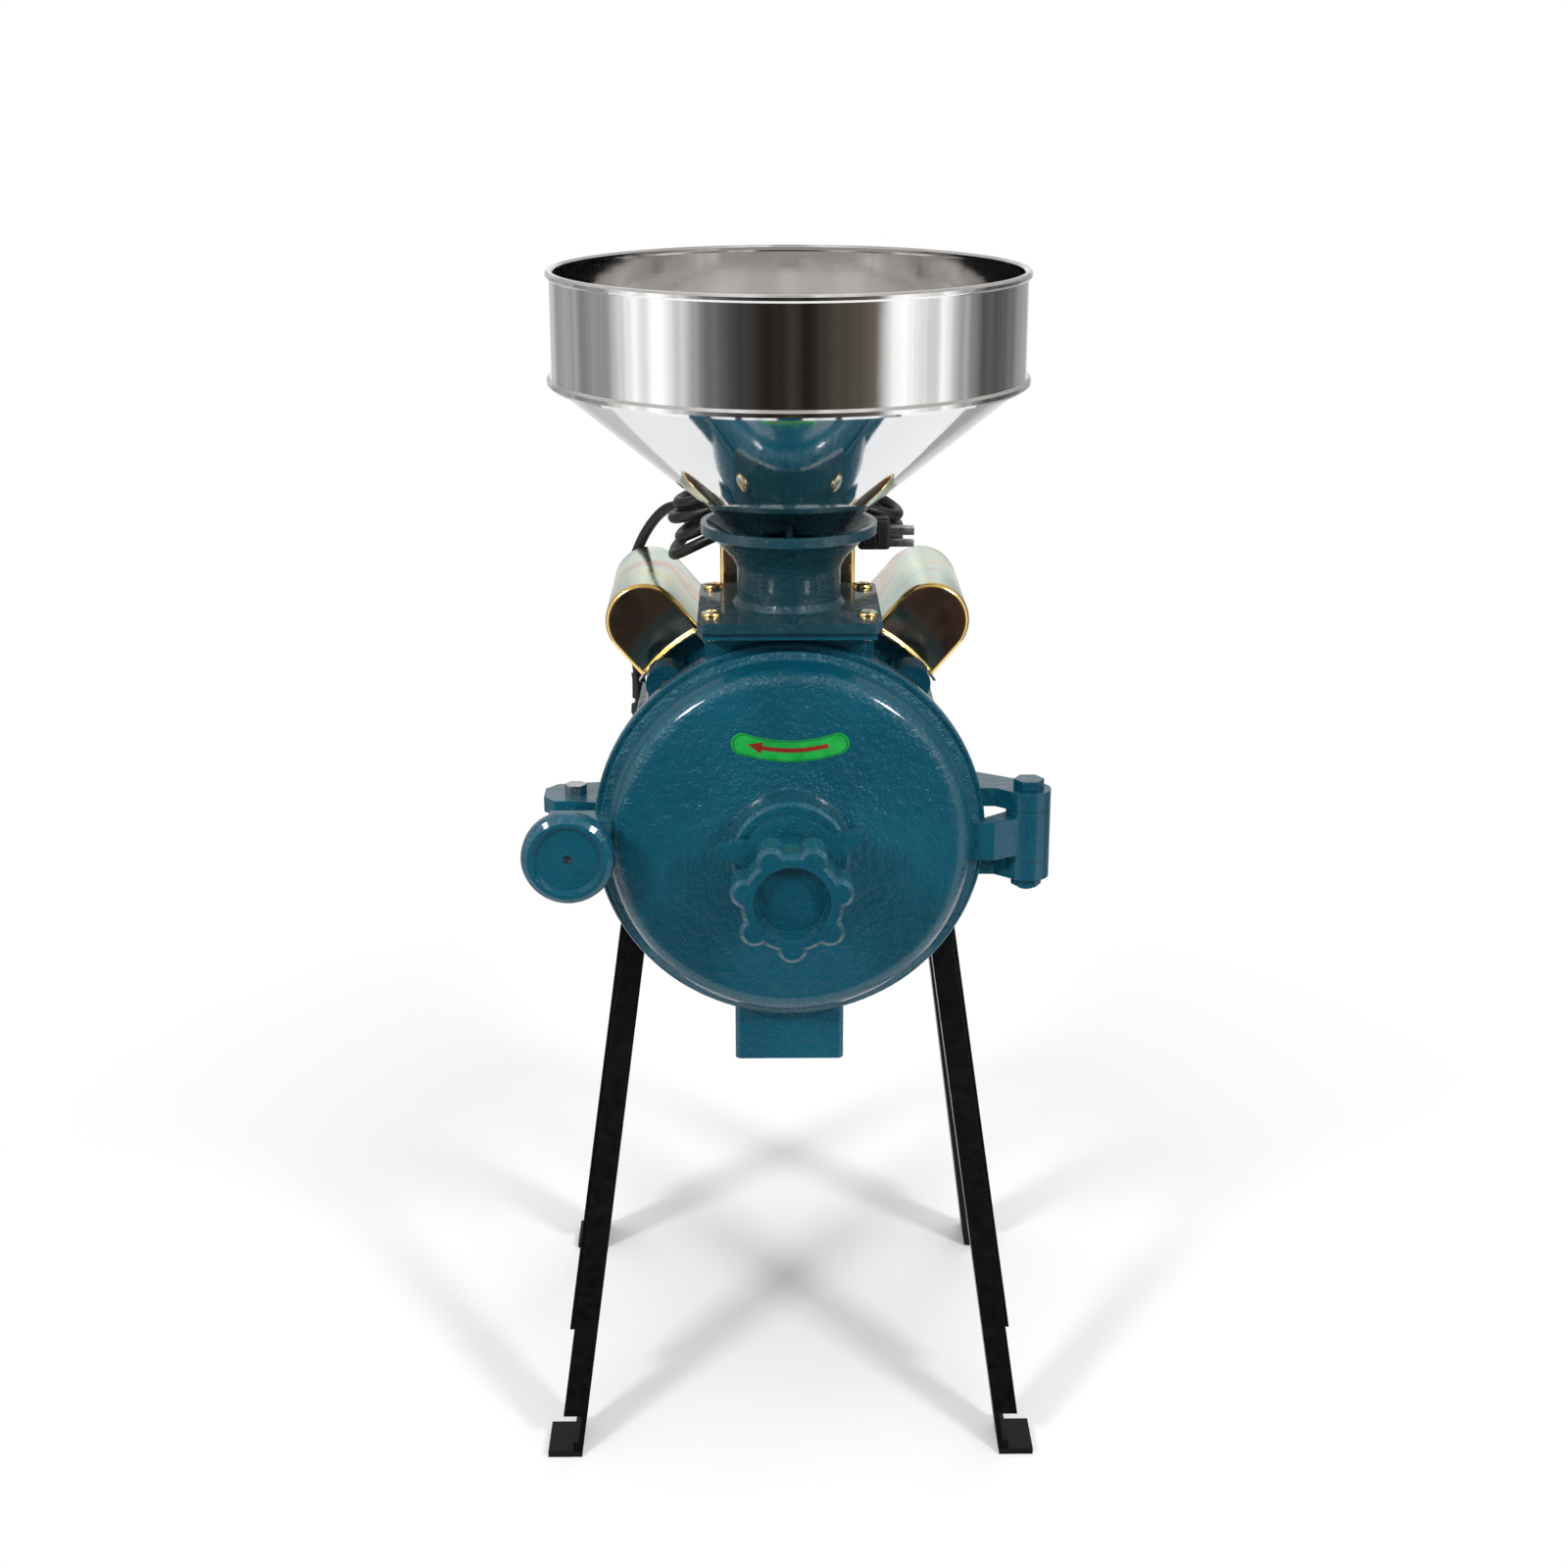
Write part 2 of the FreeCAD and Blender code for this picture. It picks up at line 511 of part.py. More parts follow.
def toothed_disc(back, face, inward):
    """A disc with radial teeth, and a round eye in its middle."""
    plate = cut(cylinder("disc_radius", "disc_plate", 0, back),
                cylinder("disc_eye", "disc_plate + 2", 0, f"{back} - 1"))
    tooth = block("tooth_width", "tooth_height", "disc_radius - disc_eye - 8", 0, face, "disc_eye + 4")
    count = int(value("tooth_count"))
    teeth = [turned(tooth, (index + 0.5 * inward) * 360 / count) for index in range(count)]
    return fuse(plate, *teeth)


def make_discs():
    """The fixed and the turning disc, with what carries each of them."""
    fixed_back = "disc_meet - disc_gap/2 - tooth_height - disc_plate"
    turning_face = "disc_meet + disc_gap/2"
    screw = cylinder("2.5", f"disc_plate + carrier_thick - 1", 0, f"{fixed_back} - carrier_thick",
                     "disc_eye + 2 + 8")
    screws = [turned(screw, angle) for angle in (22.5, 142.5, 262.5)]
    publish("fixed_disc_screws", group(*screws))
    publish("fixed_disc", cut(toothed_disc(fixed_back, f"{fixed_back} + disc_plate", 0), *screws))
    publish("turning_disc", toothed_disc(f"{turning_face} + tooth_height", turning_face, 1))
    carrier = cylinder("disc_radius", "carrier_thick", 0, f"{fixed_back} - carrier_thick")
    publish("disc_carrier", cut(carrier, *screws))
    spider_front = f"{turning_face} + tooth_height + disc_plate"
    rim = cut(cylinder("disc_radius", "spider_thick", 0, spider_front),
              cylinder("disc_radius - 14", "spider_thick + 2", 0, f"{spider_front} - 1"))
    arm = block(14, "spider_thick", "disc_radius - 20", 0, spider_front, 10)
    arms = [turned(arm, angle) for angle in (0, 120, 240)]
    hub = cylinder("hub_radius", "auger_front - seam - (parting_y + 8)", 0, "parting_y + 8")
    bore = cylinder("shaft_radius", 60, 0, "parting_y")
    publish("disc_spider", cut(fuse(rim, *arms, hub), bore))
    publish("disc_nut", cut(hexagon("2.9*shaft_radius", 5, 0, "parting_y + 2.8"),
                            cylinder("shaft_radius - 3.5", 20, 0, "parting_y - 2")))


def make_shaft():
    """Shaft with the feed auger; it carries the turning disc, rotor and fan."""
    front = "parting_y + 1.5"
    thin = cylinder("shaft_radius - 3.5", 8, 0, front)
    thick = cylinder("shaft_radius", f"shield_back + 22 - ({front} + 6.3)", 0, f"{front} + 6.3")
    publish("motor_shaft", fuse(thin, thick))
    body = new_body()
    sketch = outline(new_sketch(body, "YZ_Plane"), [
        ("auger_front + 1", "auger_hub - 1"), ("auger_front + 1 + flight_thick", "auger_hub - 1"),
        ("auger_front + 1.6 + 0.4*flight_thick", "auger_radius"), ("auger_front + 1.6", "auger_radius")])
    flight = body.newObject("PartDesign::AdditiveHelix", "Flight")
    flight.Profile = sketch
    flight.ReferenceAxis = (sketch, ["H_Axis"])
    flight.Mode = 0
    flight.setExpression("Pitch", bound("auger_pitch"))
    flight.setExpression("Height", bound("auger_back - auger_front - 2 - flight_thick"))
    body.Tip = flight
    place(body)
    hub = cylinder("auger_hub", "auger_back - auger_front", 0, "auger_front")
    publish("feed_auger", cut(fuse(hub, body), cylinder("shaft_radius", 80, 0, "auger_front - 5")))


def ring(outer, inner, front, length):
    return cut(cylinder(outer, length, 0, front), cylinder(inner, f"({length}) + 2", 0, f"({front}) - 1"))


def make_motor():
    """Finned motor with its end shields, stator, rotor, fan and bearings."""
    publish("shaft_seal", ring("bearing_radius", "shaft_radius + 0.2", "back_inner + 0.5", 7))
    front = "back_outer"
    disc = revolved([
        (front, "shaft_radius + 2"), (front, "motor_radius"), ("motor_front", "motor_radius"),
        ("motor_front", "bearing_radius + 4"), ("motor_front - 2", "bearing_radius"),
        ("motor_front - 2 - bearing_width", "bearing_radius"),
        ("motor_front - 2 - bearing_width", "shaft_radius + 2"),
    ], "y")
    publish("front_end_shield", cut(fuse(disc, *motor_ears(front)),
                                    *flange_holes("flange_bolt", f"{front} - 1", "ear_thick + 2")))
    bolt = fuse(cylinder("flange_bolt - 0.01", "2*ear_thick + 2", 0, "back_outer - ear_thick + 1",
                         "ear_hole_radius"),
                hexagon("3.1*flange_bolt", 5, 0, "back_outer + ear_thick + 0.01", "ear_hole_radius"))
    publish("flange_bolts", group(*[turned(bolt, angle) for angle in (45, 135, 225, 315)]))
    publish("front_bearing", ring("bearing_radius", "shaft_radius", "motor_front - 2 - bearing_width",
                                  "bearing_width"))
    length = "motor_back - motor_front"
    fin = block("fin_thick", length, "fin_tip - motor_radius + 2", 0, "motor_front", "motor_radius - 2")
    fins = [turned(fin, index * 360 / value("fin_count")) for index in range(int(value("fin_count")))]
    shell = cylinder("motor_radius", length, 0, "motor_front")
    feet = [block(26, f"{length} - 20", 50, x, "motor_front + 4", "tray_low + tray_thick - axis_z")
            for x in (-60, 60)]
    pad = block("box_width - 10", "box_depth - 8", 30, 0, "box_front + 4", "box_floor - 30")
    seats = [cap_seat(side) for side in (-1, 1)]
    bore = cylinder("motor_radius - motor_wall", f"({length}) + 2", 0, "motor_front - 1")
    publish("motor_body", cut(fuse(shell, *fins, *feet, pad, *seats), bore, *base_bolt_shanks()))
    publish("stator_core", ring("motor_radius - motor_wall", "stator_inner", "stator_front",
                                "stator_back - stator_front"))
    winding = [ring("motor_radius - motor_wall - 4", "stator_inner + 4", start, "winding_reach")
               for start in ("stator_front - winding_reach", "stator_back")]
    publish("stator_windings", group(*winding))
    publish("rotor_core", ring("stator_inner - air_gap", "shaft_radius", "stator_front",
                               "stator_back - stator_front"))
    back = revolved([
        ("motor_back", "rear_radius"), ("shield_back - 3", "rear_radius"),
        ("shield_back", "rear_radius - 3"), ("shield_back", "shaft_radius + 2"),
        ("motor_back + bearing_width", "shaft_radius + 2"), ("motor_back + bearing_width", "bearing_radius"),
        ("motor_back", "bearing_radius"),
    ], "y")
    gland_seat = block(20, "shield_back - 3.8 - motor_back", 22, "gland_x + 3", "motor_back", "-20")
    publish("rear_end_shield", fuse(back, gland_seat))
    publish("rear_bearing", ring("bearing_radius", "shaft_radius", "motor_back", "bearing_width"))
    make_fan()


def make_fan():
    """Plastic fan on the shaft under its slotted steel cover."""
    hub = cylinder(18, 17, 0, "shield_back + 4")
    web = cylinder("fan_radius - 12", 3, 0, "shield_back + 4")
    blade = block(3, 15, "fan_radius - 16", 0, "shield_back + 5", 15)
    blades = [turned(blade, index * 60) for index in range(6)]
    publish("cooling_fan", cut(fuse(hub, web, *blades), cylinder("shaft_radius", 40, 0, "shield_back")))
    outer = revolved([
        ("shield_back - 3.5", "fan_cover_radius"), ("fan_cover_back - 8", "fan_cover_radius"),
        ("fan_cover_back - 2.5", "fan_cover_radius - 2.5"), ("fan_cover_back", "fan_cover_radius - 8"),
        ("fan_cover_back", "0"), ("fan_cover_back - fan_cover_wall", "0"),
        ("fan_cover_back - fan_cover_wall", "fan_cover_radius - 8.5"),
        ("fan_cover_back - 8", "fan_cover_radius - fan_cover_wall"),
        ("shield_back - 3.5", "fan_cover_radius - fan_cover_wall"),
    ], "y")
    slot = block(6, 10, 46, 0, "fan_cover_back - 6", 26)
    slots = [turned(slot, index * 22.5) for index in range(16)]
    publish("fan_cover", cut(outer, *slots))


def cap_seat(side):
    """Cast seat under a capacitor cover."""
    seat = block("2*cap_half - 12", "cap_length - 16", "cap_base - motor_radius + 4",
                 0, "cap_front + 8", "motor_radius - 4")
    inside = common(seat, cylinder("cap_base - 0.03", "cap_length", 0, "cap_front"))
    return turned(inside, f_angle(side))


def f_angle(side):
    """Turn about +Y that brings the upright onto a capacitor's angle."""
    return side * (90 - value("cap_angle"))


def make_capacitors():
    """Two zinc-plated covers strapped on the motor, each over its capacitor."""
    for side, name in ((-1, "left"), (1, "right")):
        outer = fuse(cylinder("cap_half", "cap_length", 0, "cap_front", "cap_centre"),
                     block("2*cap_half", "cap_length", "cap_centre - cap_base + 4", 0, "cap_front",
                           "cap_base - 4"))
        inner = fuse(cylinder("cap_half - cap_wall", "cap_length - 2*cap_wall", 0, "cap_front + cap_wall",
                              "cap_centre"),
                     block("2*cap_half - 2*cap_wall", "cap_length - 2*cap_wall", "cap_centre - cap_base + 6", 0,
                           "cap_front + cap_wall", "cap_base - 6"))
        flange = block("2*cap_half", "cap_length + 2*cap_lip", 12, 0, "cap_front - cap_lip", "cap_base - 8")
        arc = ring("cap_base + cap_wall", "cap_base", "cap_front - cap_lip", "cap_length + 2*cap_lip")
        hollow = cylinder("cap_base", "cap_length + 40", 0, "cap_front - 20")
        skin = fuse(cut(outer, inner), common(flange, arc))
        publish(f"capacitor_cover_{name}", turned(cut(skin, hollow), f_angle(side)))
        can = cylinder("cap_half - cap_wall - seam", "cap_length - 14", 0, "cap_front + 6", "cap_centre + 0.25")
        publish(f"capacitor_{name}", turned(can, f_angle(side)))


def make_terminal_box():
    """Pressed steel box over the connections, on top of the motor."""
    outer = block("box_width", "box_depth", "box_height - box_floor", 0, "box_front", "box_floor")
    shell = rounded(outer, "3", vertical)
    inner = block("box_width - 3", "box_depth - 3", "box_height - box_floor", 0, "box_front + 1.5",
                  "box_floor - 1.5")
    publish("terminal_box", cut(shell, inner))
    plate = block(44, 26, 8, 0, "box_front + 16", "box_floor + 0.01")
    studs = [cylinder(2.5, 12, x, "box_front + 29", "box_floor + 8", "z") for x in (-14, 0, 14)]
    publish("terminal_block", fuse(plate, *studs))


def make_base():
    """Folded tray under the motor whose leaning sides carry the legs."""
    low = "tray_low - axis_z"
    tray = padded([
        ("-tray_half", low), ("tray_half", low),
        ("tray_half - splay*(flange_top - tray_low)", "flange_top - axis_z"),
        ("tray_half - splay*(flange_top - tray_low) - tray_thick", "flange_top - axis_z"),
        ("tray_half - splay*tray_thick - tray_thick", f"{low} + tray_thick"),
        ("-tray_half + splay*tray_thick + tray_thick", f"{low} + tray_thick"),
        ("-tray_half + splay*(flange_top - tray_low) + tray_thick", "flange_top - axis_z"),
        ("-tray_half + splay*(flange_top - tray_low)", "flange_top - axis_z"),
    ], "XZ_Plane", "tray_back - tray_front", "-tray_back")
    holes = doc.addObject("Part::Feature", "LegBoltHoles")
    holes.Shape = Part.makeCompound([shank for shank, head in leg_bolt_shapes()])
    bolts = base_bolt_shanks()
    publish("motor_base", cut(tray, holes, *bolts))
    heads = [hexagon("3.2*base_bolt", 5.5, x, y, f"{low} - 5.5 - 0.01", "z") for x, y in base_bolt_spots()]
    publish("base_bolts", group(*[fuse(*pair) for pair in zip(bolts, heads)]))


def base_bolt_spots():
    return [(x, y) for x in (-60, 60) for y in ("motor_front + 18", "motor_back - 30")]


def base_bolt_shanks():
    """Bolts that go up through the tray into the motor's feet."""
    return [cylinder("base_bolt - 0.01", "tray_thick + 16", x, y, "tray_low - axis_z - 0.02", "z")
            for x, y in base_bolt_spots()]


def make_leg(name, side, rake, top_y):
    """One leg of bent channel, leaning outward and forward or back, with its foot."""
    section = doc.addObject("Part::Feature", "Section")
    run = value("flange_top")
    slope = Vector(side * value("splay"), value(rake), -1)
    corner_x = value("tray_half - splay*(flange_top - tray_low)") + 0.05
    corner_y = value(f"axis_y + {top_y}")
    deep, face, wall = value("leg_side"), value("leg_face"), value("leg_wall")

    def bar(x_from, x_to, y_from, y_to, z_top, z_low):
        """A leaning bar between two heights, cut level at both ends."""
        shift = run - z_top
        outline_points = [Vector(side * (corner_x + x), corner_y + y, run)
                          for x, y in ((x_from, y_from), (x_to, y_from), (x_to, y_to), (x_from, y_to))]
        wire = Part.makePolygon(outline_points + outline_points[:1])
        wire.translate(slope * shift)
        return Part.Face(wire).extrude(slope * (z_top - z_low))

    thick = value("foot_thick")
    web = bar(0, wall, 0, deep, run, 0)
    front = bar(0, face, 0, wall, run, value("notch_height"))
    rear = bar(0, face + 3, deep - wall, deep, run, value("rear_flange_cut"))
    base = Vector(side * corner_x, corner_y, run) + slope * run
    foot_width = side * value("foot_out")
    foot = Part.makeBox(abs(foot_width), deep, thick,
                        Vector(min(base.x, base.x + foot_width), base.y, 0))
    gusset = bar(0, wall + 3, 0, deep, thick + 4, 0)
    leg = web.fuse([front, rear, foot, gusset])
    section.Shape = leg.cut([shank for shank, head in leg_bolt_shapes()]).removeSplitter()
    publish(name, section)


def make_legs():
    for side, word in ((-1, "left"), (1, "right")):
        make_leg(f"leg_front_{word}", side, "front_rake", "leg_front_y")
        make_leg(f"leg_rear_{word}", side, "rear_rake", "leg_rear_y")
    item = doc.addObject("Part::Feature", "LegBolts")
    item.Shape = Part.makeCompound([shank.fuse(head) for shank, head in leg_bolt_shapes()])
    publish("leg_bolts", item)


def leg_bolt_shapes():
    """Shank and head of each bolt, square to the leaning side of the tray."""
    shapes = []
    wall, radius = value("leg_wall"), value("leg_bolt - 0.5")
    for side in (-1, 1):
        out = Vector(side, 0, value("splay")).normalize()
        for top_y, rake in (("leg_front_y", "front_rake"), ("leg_rear_y", "rear_rake")):
            for drop in (9, 24):
                x = value(f"tray_half - splay*(flange_top - tray_low) + splay*{drop} + 0.05")
                y = value(f"axis_y + {top_y} + leg_side/2 + {rake}*{drop}")
                face = Vector(side * x, y, value("flange_top") - drop)
                shank = Part.makeCylinder(radius, value("tray_thick") + wall + 2.5,
                                          face - out * (value("tray_thick") + 2.5), out)
                head = Part.makeCylinder(radius + 3, 3.5, face + out * (wall + 0.02), out)
                shapes.append((shank, head))
    return shapes


def smooth_route(points):
    """Straight runs joined by tangent arcs, each as large as its runs allow."""
    edges, start = [], points[0]
    for index in range(1, len(points) - 1):
        before, here, after = points[index - 1:index + 2]
        back, ahead = (before - here), (after - here)
        reach = 0.45 * min(back.Length, ahead.Length)
        back.normalize()
        ahead.normalize()
        enter, leave = here + back * reach, here + ahead * reach
        half = (back + ahead).normalize()
        turn = back.getAngle(ahead) / 2
        middle = here + half * (reach / math.cos(turn) - reach * math.tan(turn))
        print("cord bend radius", round(reach * math.tan(turn), 1))
        edges += [Part.LineSegment(start, enter).toShape(), Part.Arc(enter, middle, leave).toShape()]
        start = leave
    edges.append(Part.LineSegment(start, points[-1]).toShape())
    return Part.Wire(edges)


def make_cord():
    """Gland, cord and hank of the mains lead, with its tie and plug."""
    half, thick, radius, sag = value("hank_half"), value("hank_thick"), value("cord_radius"), 19
    gland = fuse(cylinder(7, 6, "gland_x", "gland_y", 2, "z"), cylinder(5.5, 12, "gland_x", "gland_y", 2, "z"))
    publish("cable_gland", gland)
    start = Vector(value("gland_x"), value("axis_y + gland_y"), value("axis_z + 14"))
    floor = value("axis_z + box_height") + 0.3 + sag * (value("box_width") / 2 / half) ** 2
    end = Vector(14 - half, value("axis_y + hank_front + hank_depth"), 0)
    end.z = floor - sag * (end.x / half) ** 2 + radius
    route = [start, start + Vector(0, 0, 26), start + Vector(-6.5, 8, 56), start + Vector(-7.5, 11, 89),
             start + Vector(2.5, 8, 120), end + Vector(-20, 54, 4), end + Vector(-5, 34, 7),
             end + Vector(0, 18, 0), end]
    print("route", [[round(number, 2) for number in point] for point in route])
    path = smooth_route(route)
    circle = Part.Wire(Part.makeCircle(radius, start, route[1] - start))
    tube = doc.addObject("Part::Feature", "CordTube")
    tube.Shape = path.makePipeShell([circle], True, False)
    expected = math.pi * radius ** 2 * path.Length
    print("cord length", round(path.Length, 1), "volume ratio", round(tube.Shape.Volume / expected, 4))
    publish("cord_lead", tube)
    top = floor + thick
    front, depth = value("axis_y + hank_front"), value("hank_depth")
    upper = Part.Arc(Vector(-half, front, top - sag), Vector(0, front, top), Vector(half, front, top - sag))
    lower = Part.Arc(Vector(half, front, floor - sag + 1), Vector(0, front, floor),
                     Vector(-half, front, floor - sag + 1))
    sides = [Part.LineSegment(Vector(half, front, top - sag), Vector(half, front, floor - sag + 1)),
             Part.LineSegment(Vector(-half, front, floor - sag + 1), Vector(-half, front, top - sag))]
    wire = Part.Wire([upper.toShape(), sides[0].toShape(), lower.toShape(), sides[1].toShape()])
    hank = doc.addObject("Part::Feature", "Hank")
    solid = Part.Face(wire).extrude(Vector(0, depth, 0))
    hank.Shape = solid
    publish("cord_hank", hank)
    make_tie(floor, top)
    make_plug()


def make_tie(floor, top):
    """Strap round the middle of the hank."""
    strap = 1.4
    low, high = f"{floor} - axis_z", f"{top} - axis_z"
    outer = block(9, f"hank_depth + {2 * strap}", f"{high} - ({low}) + {2 * strap}", 0,
                  f"hank_front - {strap}", f"{low} - {strap}")
    inner = block(11, "hank_depth + 0.1", f"{high} - ({low}) + 0.1", 0, "hank_front - 0.05", f"{low} - 0.05")
    publish("cord_tie", cut(outer, inner))


def make_plug():
    """Mains plug with three flat pins, tucked against the front of the hank."""
    body = rounded(block(20, 12, 20, 53.5, "hank_front - 12", "box_height - 3"), "3", along_y)
    pins = [block(17, 1.6, 5, 70, f"hank_front - {depth}", f"box_height + {low}")
            for depth, low in ((9.5, 9), (3.5, 9), (6.5, 0))]
    publish("mains_plug", fuse(body, *pins))


def make_label():
    """Thin curved sticker on the cover that shows which way the disc turns."""
    centre, radius, half, width = 146.0, 87.0, 19.0, 13.0
    middle = Vector(0, value("axis_y + cover_front"), value("axis_z") + centre)

    def at(angle, distance):
        return middle + Vector(math.sin(math.radians(angle)) * distance, 0,
                               -math.cos(math.radians(angle)) * distance)

    outer, inner = radius + width / 2, radius - width / 2
    tip = math.degrees(width / 2 / radius)
    edges = [Part.Arc(at(-half, outer), at(0, outer), at(half, outer)),
             Part.Arc(at(half, outer), at(half + tip, radius), at(half, inner)),
             Part.Arc(at(half, inner), at(0, inner), at(-half, inner)),
             Part.Arc(at(-half, inner), at(-half - tip, radius), at(-half, outer))]
    item = doc.addObject("Part::Feature", "Label")
    item.Shape = Part.Face(Part.Wire([edge.toShape() for edge in edges])).extrude(Vector(0, -0.3, 0))
    publish("direction_label", item)


def check_and_write():
    doc.recompute()
    faulty = [item.Name for item in doc.Objects if "Invalid" in item.State or "Error" in item.State]
    if faulty:
        raise RuntimeError(f"failed objects: {faulty}")
    os.makedirs("parts", exist_ok=True)
    for name, item in parts.items():
        shape = item.Shape
        if shape.isNull() or not shape.isValid() or not shape.Solids:
            raise RuntimeError(f"{name} has no valid shape")
        shape.exportStep(f"parts/{name}.step")
        print(name, len(shape.Solids), "solids", round(shape.Volume))


for make in (make_hopper, make_inlet, make_housing, make_cover, make_hinge_bolt, make_latch, make_adjuster,
             make_discs, make_shaft, make_motor, make_capacitors, make_terminal_box, make_base, make_legs,
             make_cord, make_label):
    print(make.__name__)
    make()
check_and_write()
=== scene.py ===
import json
import math

import bmesh
import bpy
from mathutils import Matrix, Vector


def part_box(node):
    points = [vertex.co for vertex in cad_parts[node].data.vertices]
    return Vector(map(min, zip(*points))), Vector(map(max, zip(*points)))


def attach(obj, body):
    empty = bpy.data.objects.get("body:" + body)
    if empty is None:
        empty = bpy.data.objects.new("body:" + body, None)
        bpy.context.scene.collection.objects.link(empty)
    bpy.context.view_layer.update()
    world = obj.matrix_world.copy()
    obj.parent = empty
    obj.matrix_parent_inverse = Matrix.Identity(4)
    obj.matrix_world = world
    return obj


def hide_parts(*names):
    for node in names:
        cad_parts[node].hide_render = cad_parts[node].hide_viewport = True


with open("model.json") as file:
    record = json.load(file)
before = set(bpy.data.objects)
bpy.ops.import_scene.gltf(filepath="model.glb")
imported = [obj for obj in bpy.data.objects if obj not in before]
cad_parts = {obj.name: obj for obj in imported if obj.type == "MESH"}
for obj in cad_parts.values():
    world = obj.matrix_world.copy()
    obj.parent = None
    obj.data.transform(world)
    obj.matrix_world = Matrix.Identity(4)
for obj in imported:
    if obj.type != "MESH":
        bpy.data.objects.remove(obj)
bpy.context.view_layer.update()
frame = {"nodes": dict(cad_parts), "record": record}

# Electric grain mill, in metres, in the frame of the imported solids.
# The shaft lies along Y at height AXIS_Z. The castings are measured from the plane at AXIS_Y.
AXIS_Y, AXIS_Z = -0.031, 0.386


# node trees and materials

def linear(red, green, blue):
    """A colour as it is seen, 0 to 255, as Blender's linear values."""
    def one(value):
        value /= 255
        return value / 12.92 if value <= 0.04045 else ((value + 0.055) / 1.055) ** 2.4
    return (one(red), one(green), one(blue), 1)


WHITE = (1, 1, 1, 1)


class Shading:
    """A shader tree that is built up one node at a time."""

    def __init__(self, tree):
        self.nodes, self.links = tree.nodes, tree.links

    def put(self, value, socket):
        """A link where the value is another node's output, and otherwise a constant."""
        if isinstance(value, bpy.types.NodeSocket):
            self.links.new(value, socket)
        else:
            socket.default_value = value

    def add(self, kind, inputs=None, **settings):
        node = self.nodes.new("ShaderNode" + kind)
        for key, value in settings.items():
            setattr(node, key, value)
        for key, value in (inputs or {}).items():
            self.put(value, node.inputs[key])
        return node

    def calculate(self, operation, first, second):
        return self.add("Math", {0: first, 1: second}, operation=operation).outputs[0]

    def weighted(self, *parts):
        """The sum of several values, each times its weight."""
        total = None
        for value, weight in parts:
            value = value if weight == 1 else self.calculate("MULTIPLY", value, weight)
            total = value if total is None else self.calculate("ADD", total, value)
        return total

    def span(self, source, low, high, start=0.0, end=1.0):
        return self.add("MapRange", {"Value": source, "From Min": low, "From Max": high, "To Min": start,
                                     "To Max": end}).outputs["Result"]

    def ramp(self, source, *stops):
        node = self.add("ValToRGB", {"Fac": source})
        ramp = node.color_ramp
        while len(ramp.elements) < len(stops):
            ramp.elements.new(0.5)
        for element, (position, colour) in zip(ramp.elements, stops):
            element.position = position
            element.color = colour if len(colour) == 4 else (*colour, 1)
        return node.outputs["Color"]

    def mix(self, factor, first, second, blend="MIX"):
        node = self.add("Mix", data_type="RGBA", blend_type=blend)
        for index, value in ((0, factor), (6, first), (7, second)):
            self.put(value, node.inputs[index])
        return node.outputs[2]


class Paint(Shading):
    """A material round one Principled shader, whose constants are given by name."""

    def __init__(self, name, **constants):
        self.material = bpy.data.materials.new(name)
        self.material.use_nodes = True
        super().__init__(self.material.node_tree)
        self.shader = self.nodes["Principled BSDF"]
        for key, value in constants.items():
            self.shader.inputs[key.replace("_", " ")].default_value = value
        self.place = self.add("TexCoord").outputs["Object"]

    def noise(self, scale, detail=3.0, rough=0.5, stretch=None, distortion=0.0):
        place = self.place
        if stretch:
            place = self.add("Mapping", {"Vector": place, "Scale": stretch}).outputs[0]
        return self.add("TexNoise", {"Vector": place, "Scale": scale, "Detail": detail, "Roughness": rough,
                                     "Distortion": distortion}).outputs["Fac"]

    def cells(self, scale):
        return self.add("TexVoronoi", {"Vector": self.place, "Scale": scale}, feature="SMOOTH_F1").outputs["Distance"]

    def wave(self, scale, direction, distortion):
        return self.add("TexWave", {"Vector": self.place, "Scale": scale, "Distortion": distortion},
                        bands_direction=direction).outputs["Fac"]

    def colour(self, socket):
        self.links.new(socket, self.shader.inputs["Base Color"])

    def roughness(self, source, low, high, least, most):
        """Roughness from least to most, as the source goes from low to high."""
        self.links.new(self.span(source, low, high, least, most), self.shader.inputs["Roughness"])

    def bump(self, socket, distance, strength, edge=0.0):
        """Relief of that height. An edge radius softens the look of the sharp edges."""
        node = self.add("Bump", {"Height": socket, "Distance": distance, "Strength": strength})
        if edge:
            self.links.new(self.add("Bevel", {"Radius": edge}, samples=4).outputs[0], node.inputs["Normal"])
        self.links.new(node.outputs[0], self.shader.inputs["Normal"])


def casting_paint(name, deep, pale, spots):
    """Thick glossy paint on a rough sand casting."""
    paint = Paint(name, Coat_Weight=0.6, Coat_Roughness=0.07, Specular_IOR_Level=0.25)
    pores = paint.noise(430, 2, 0.6)
    lumps = paint.cells(190)
    waves = paint.noise(45, 2)
    shade = paint.ramp(paint.noise(14, 4, 0.6), (0.3, deep), (0.7, pale))
    paint.colour(paint.mix(paint.span(pores, 0.6, 0.75, 0, 0.3), shade, spots))
    paint.roughness(paint.noise(90, 3), 0.3, 0.7, 0.22, 0.34)
    paint.bump(paint.weighted((pores, 1), (lumps, 0.8), (waves, 1.5)), 0.0017, 0.6, 0.0012)
    return paint.material


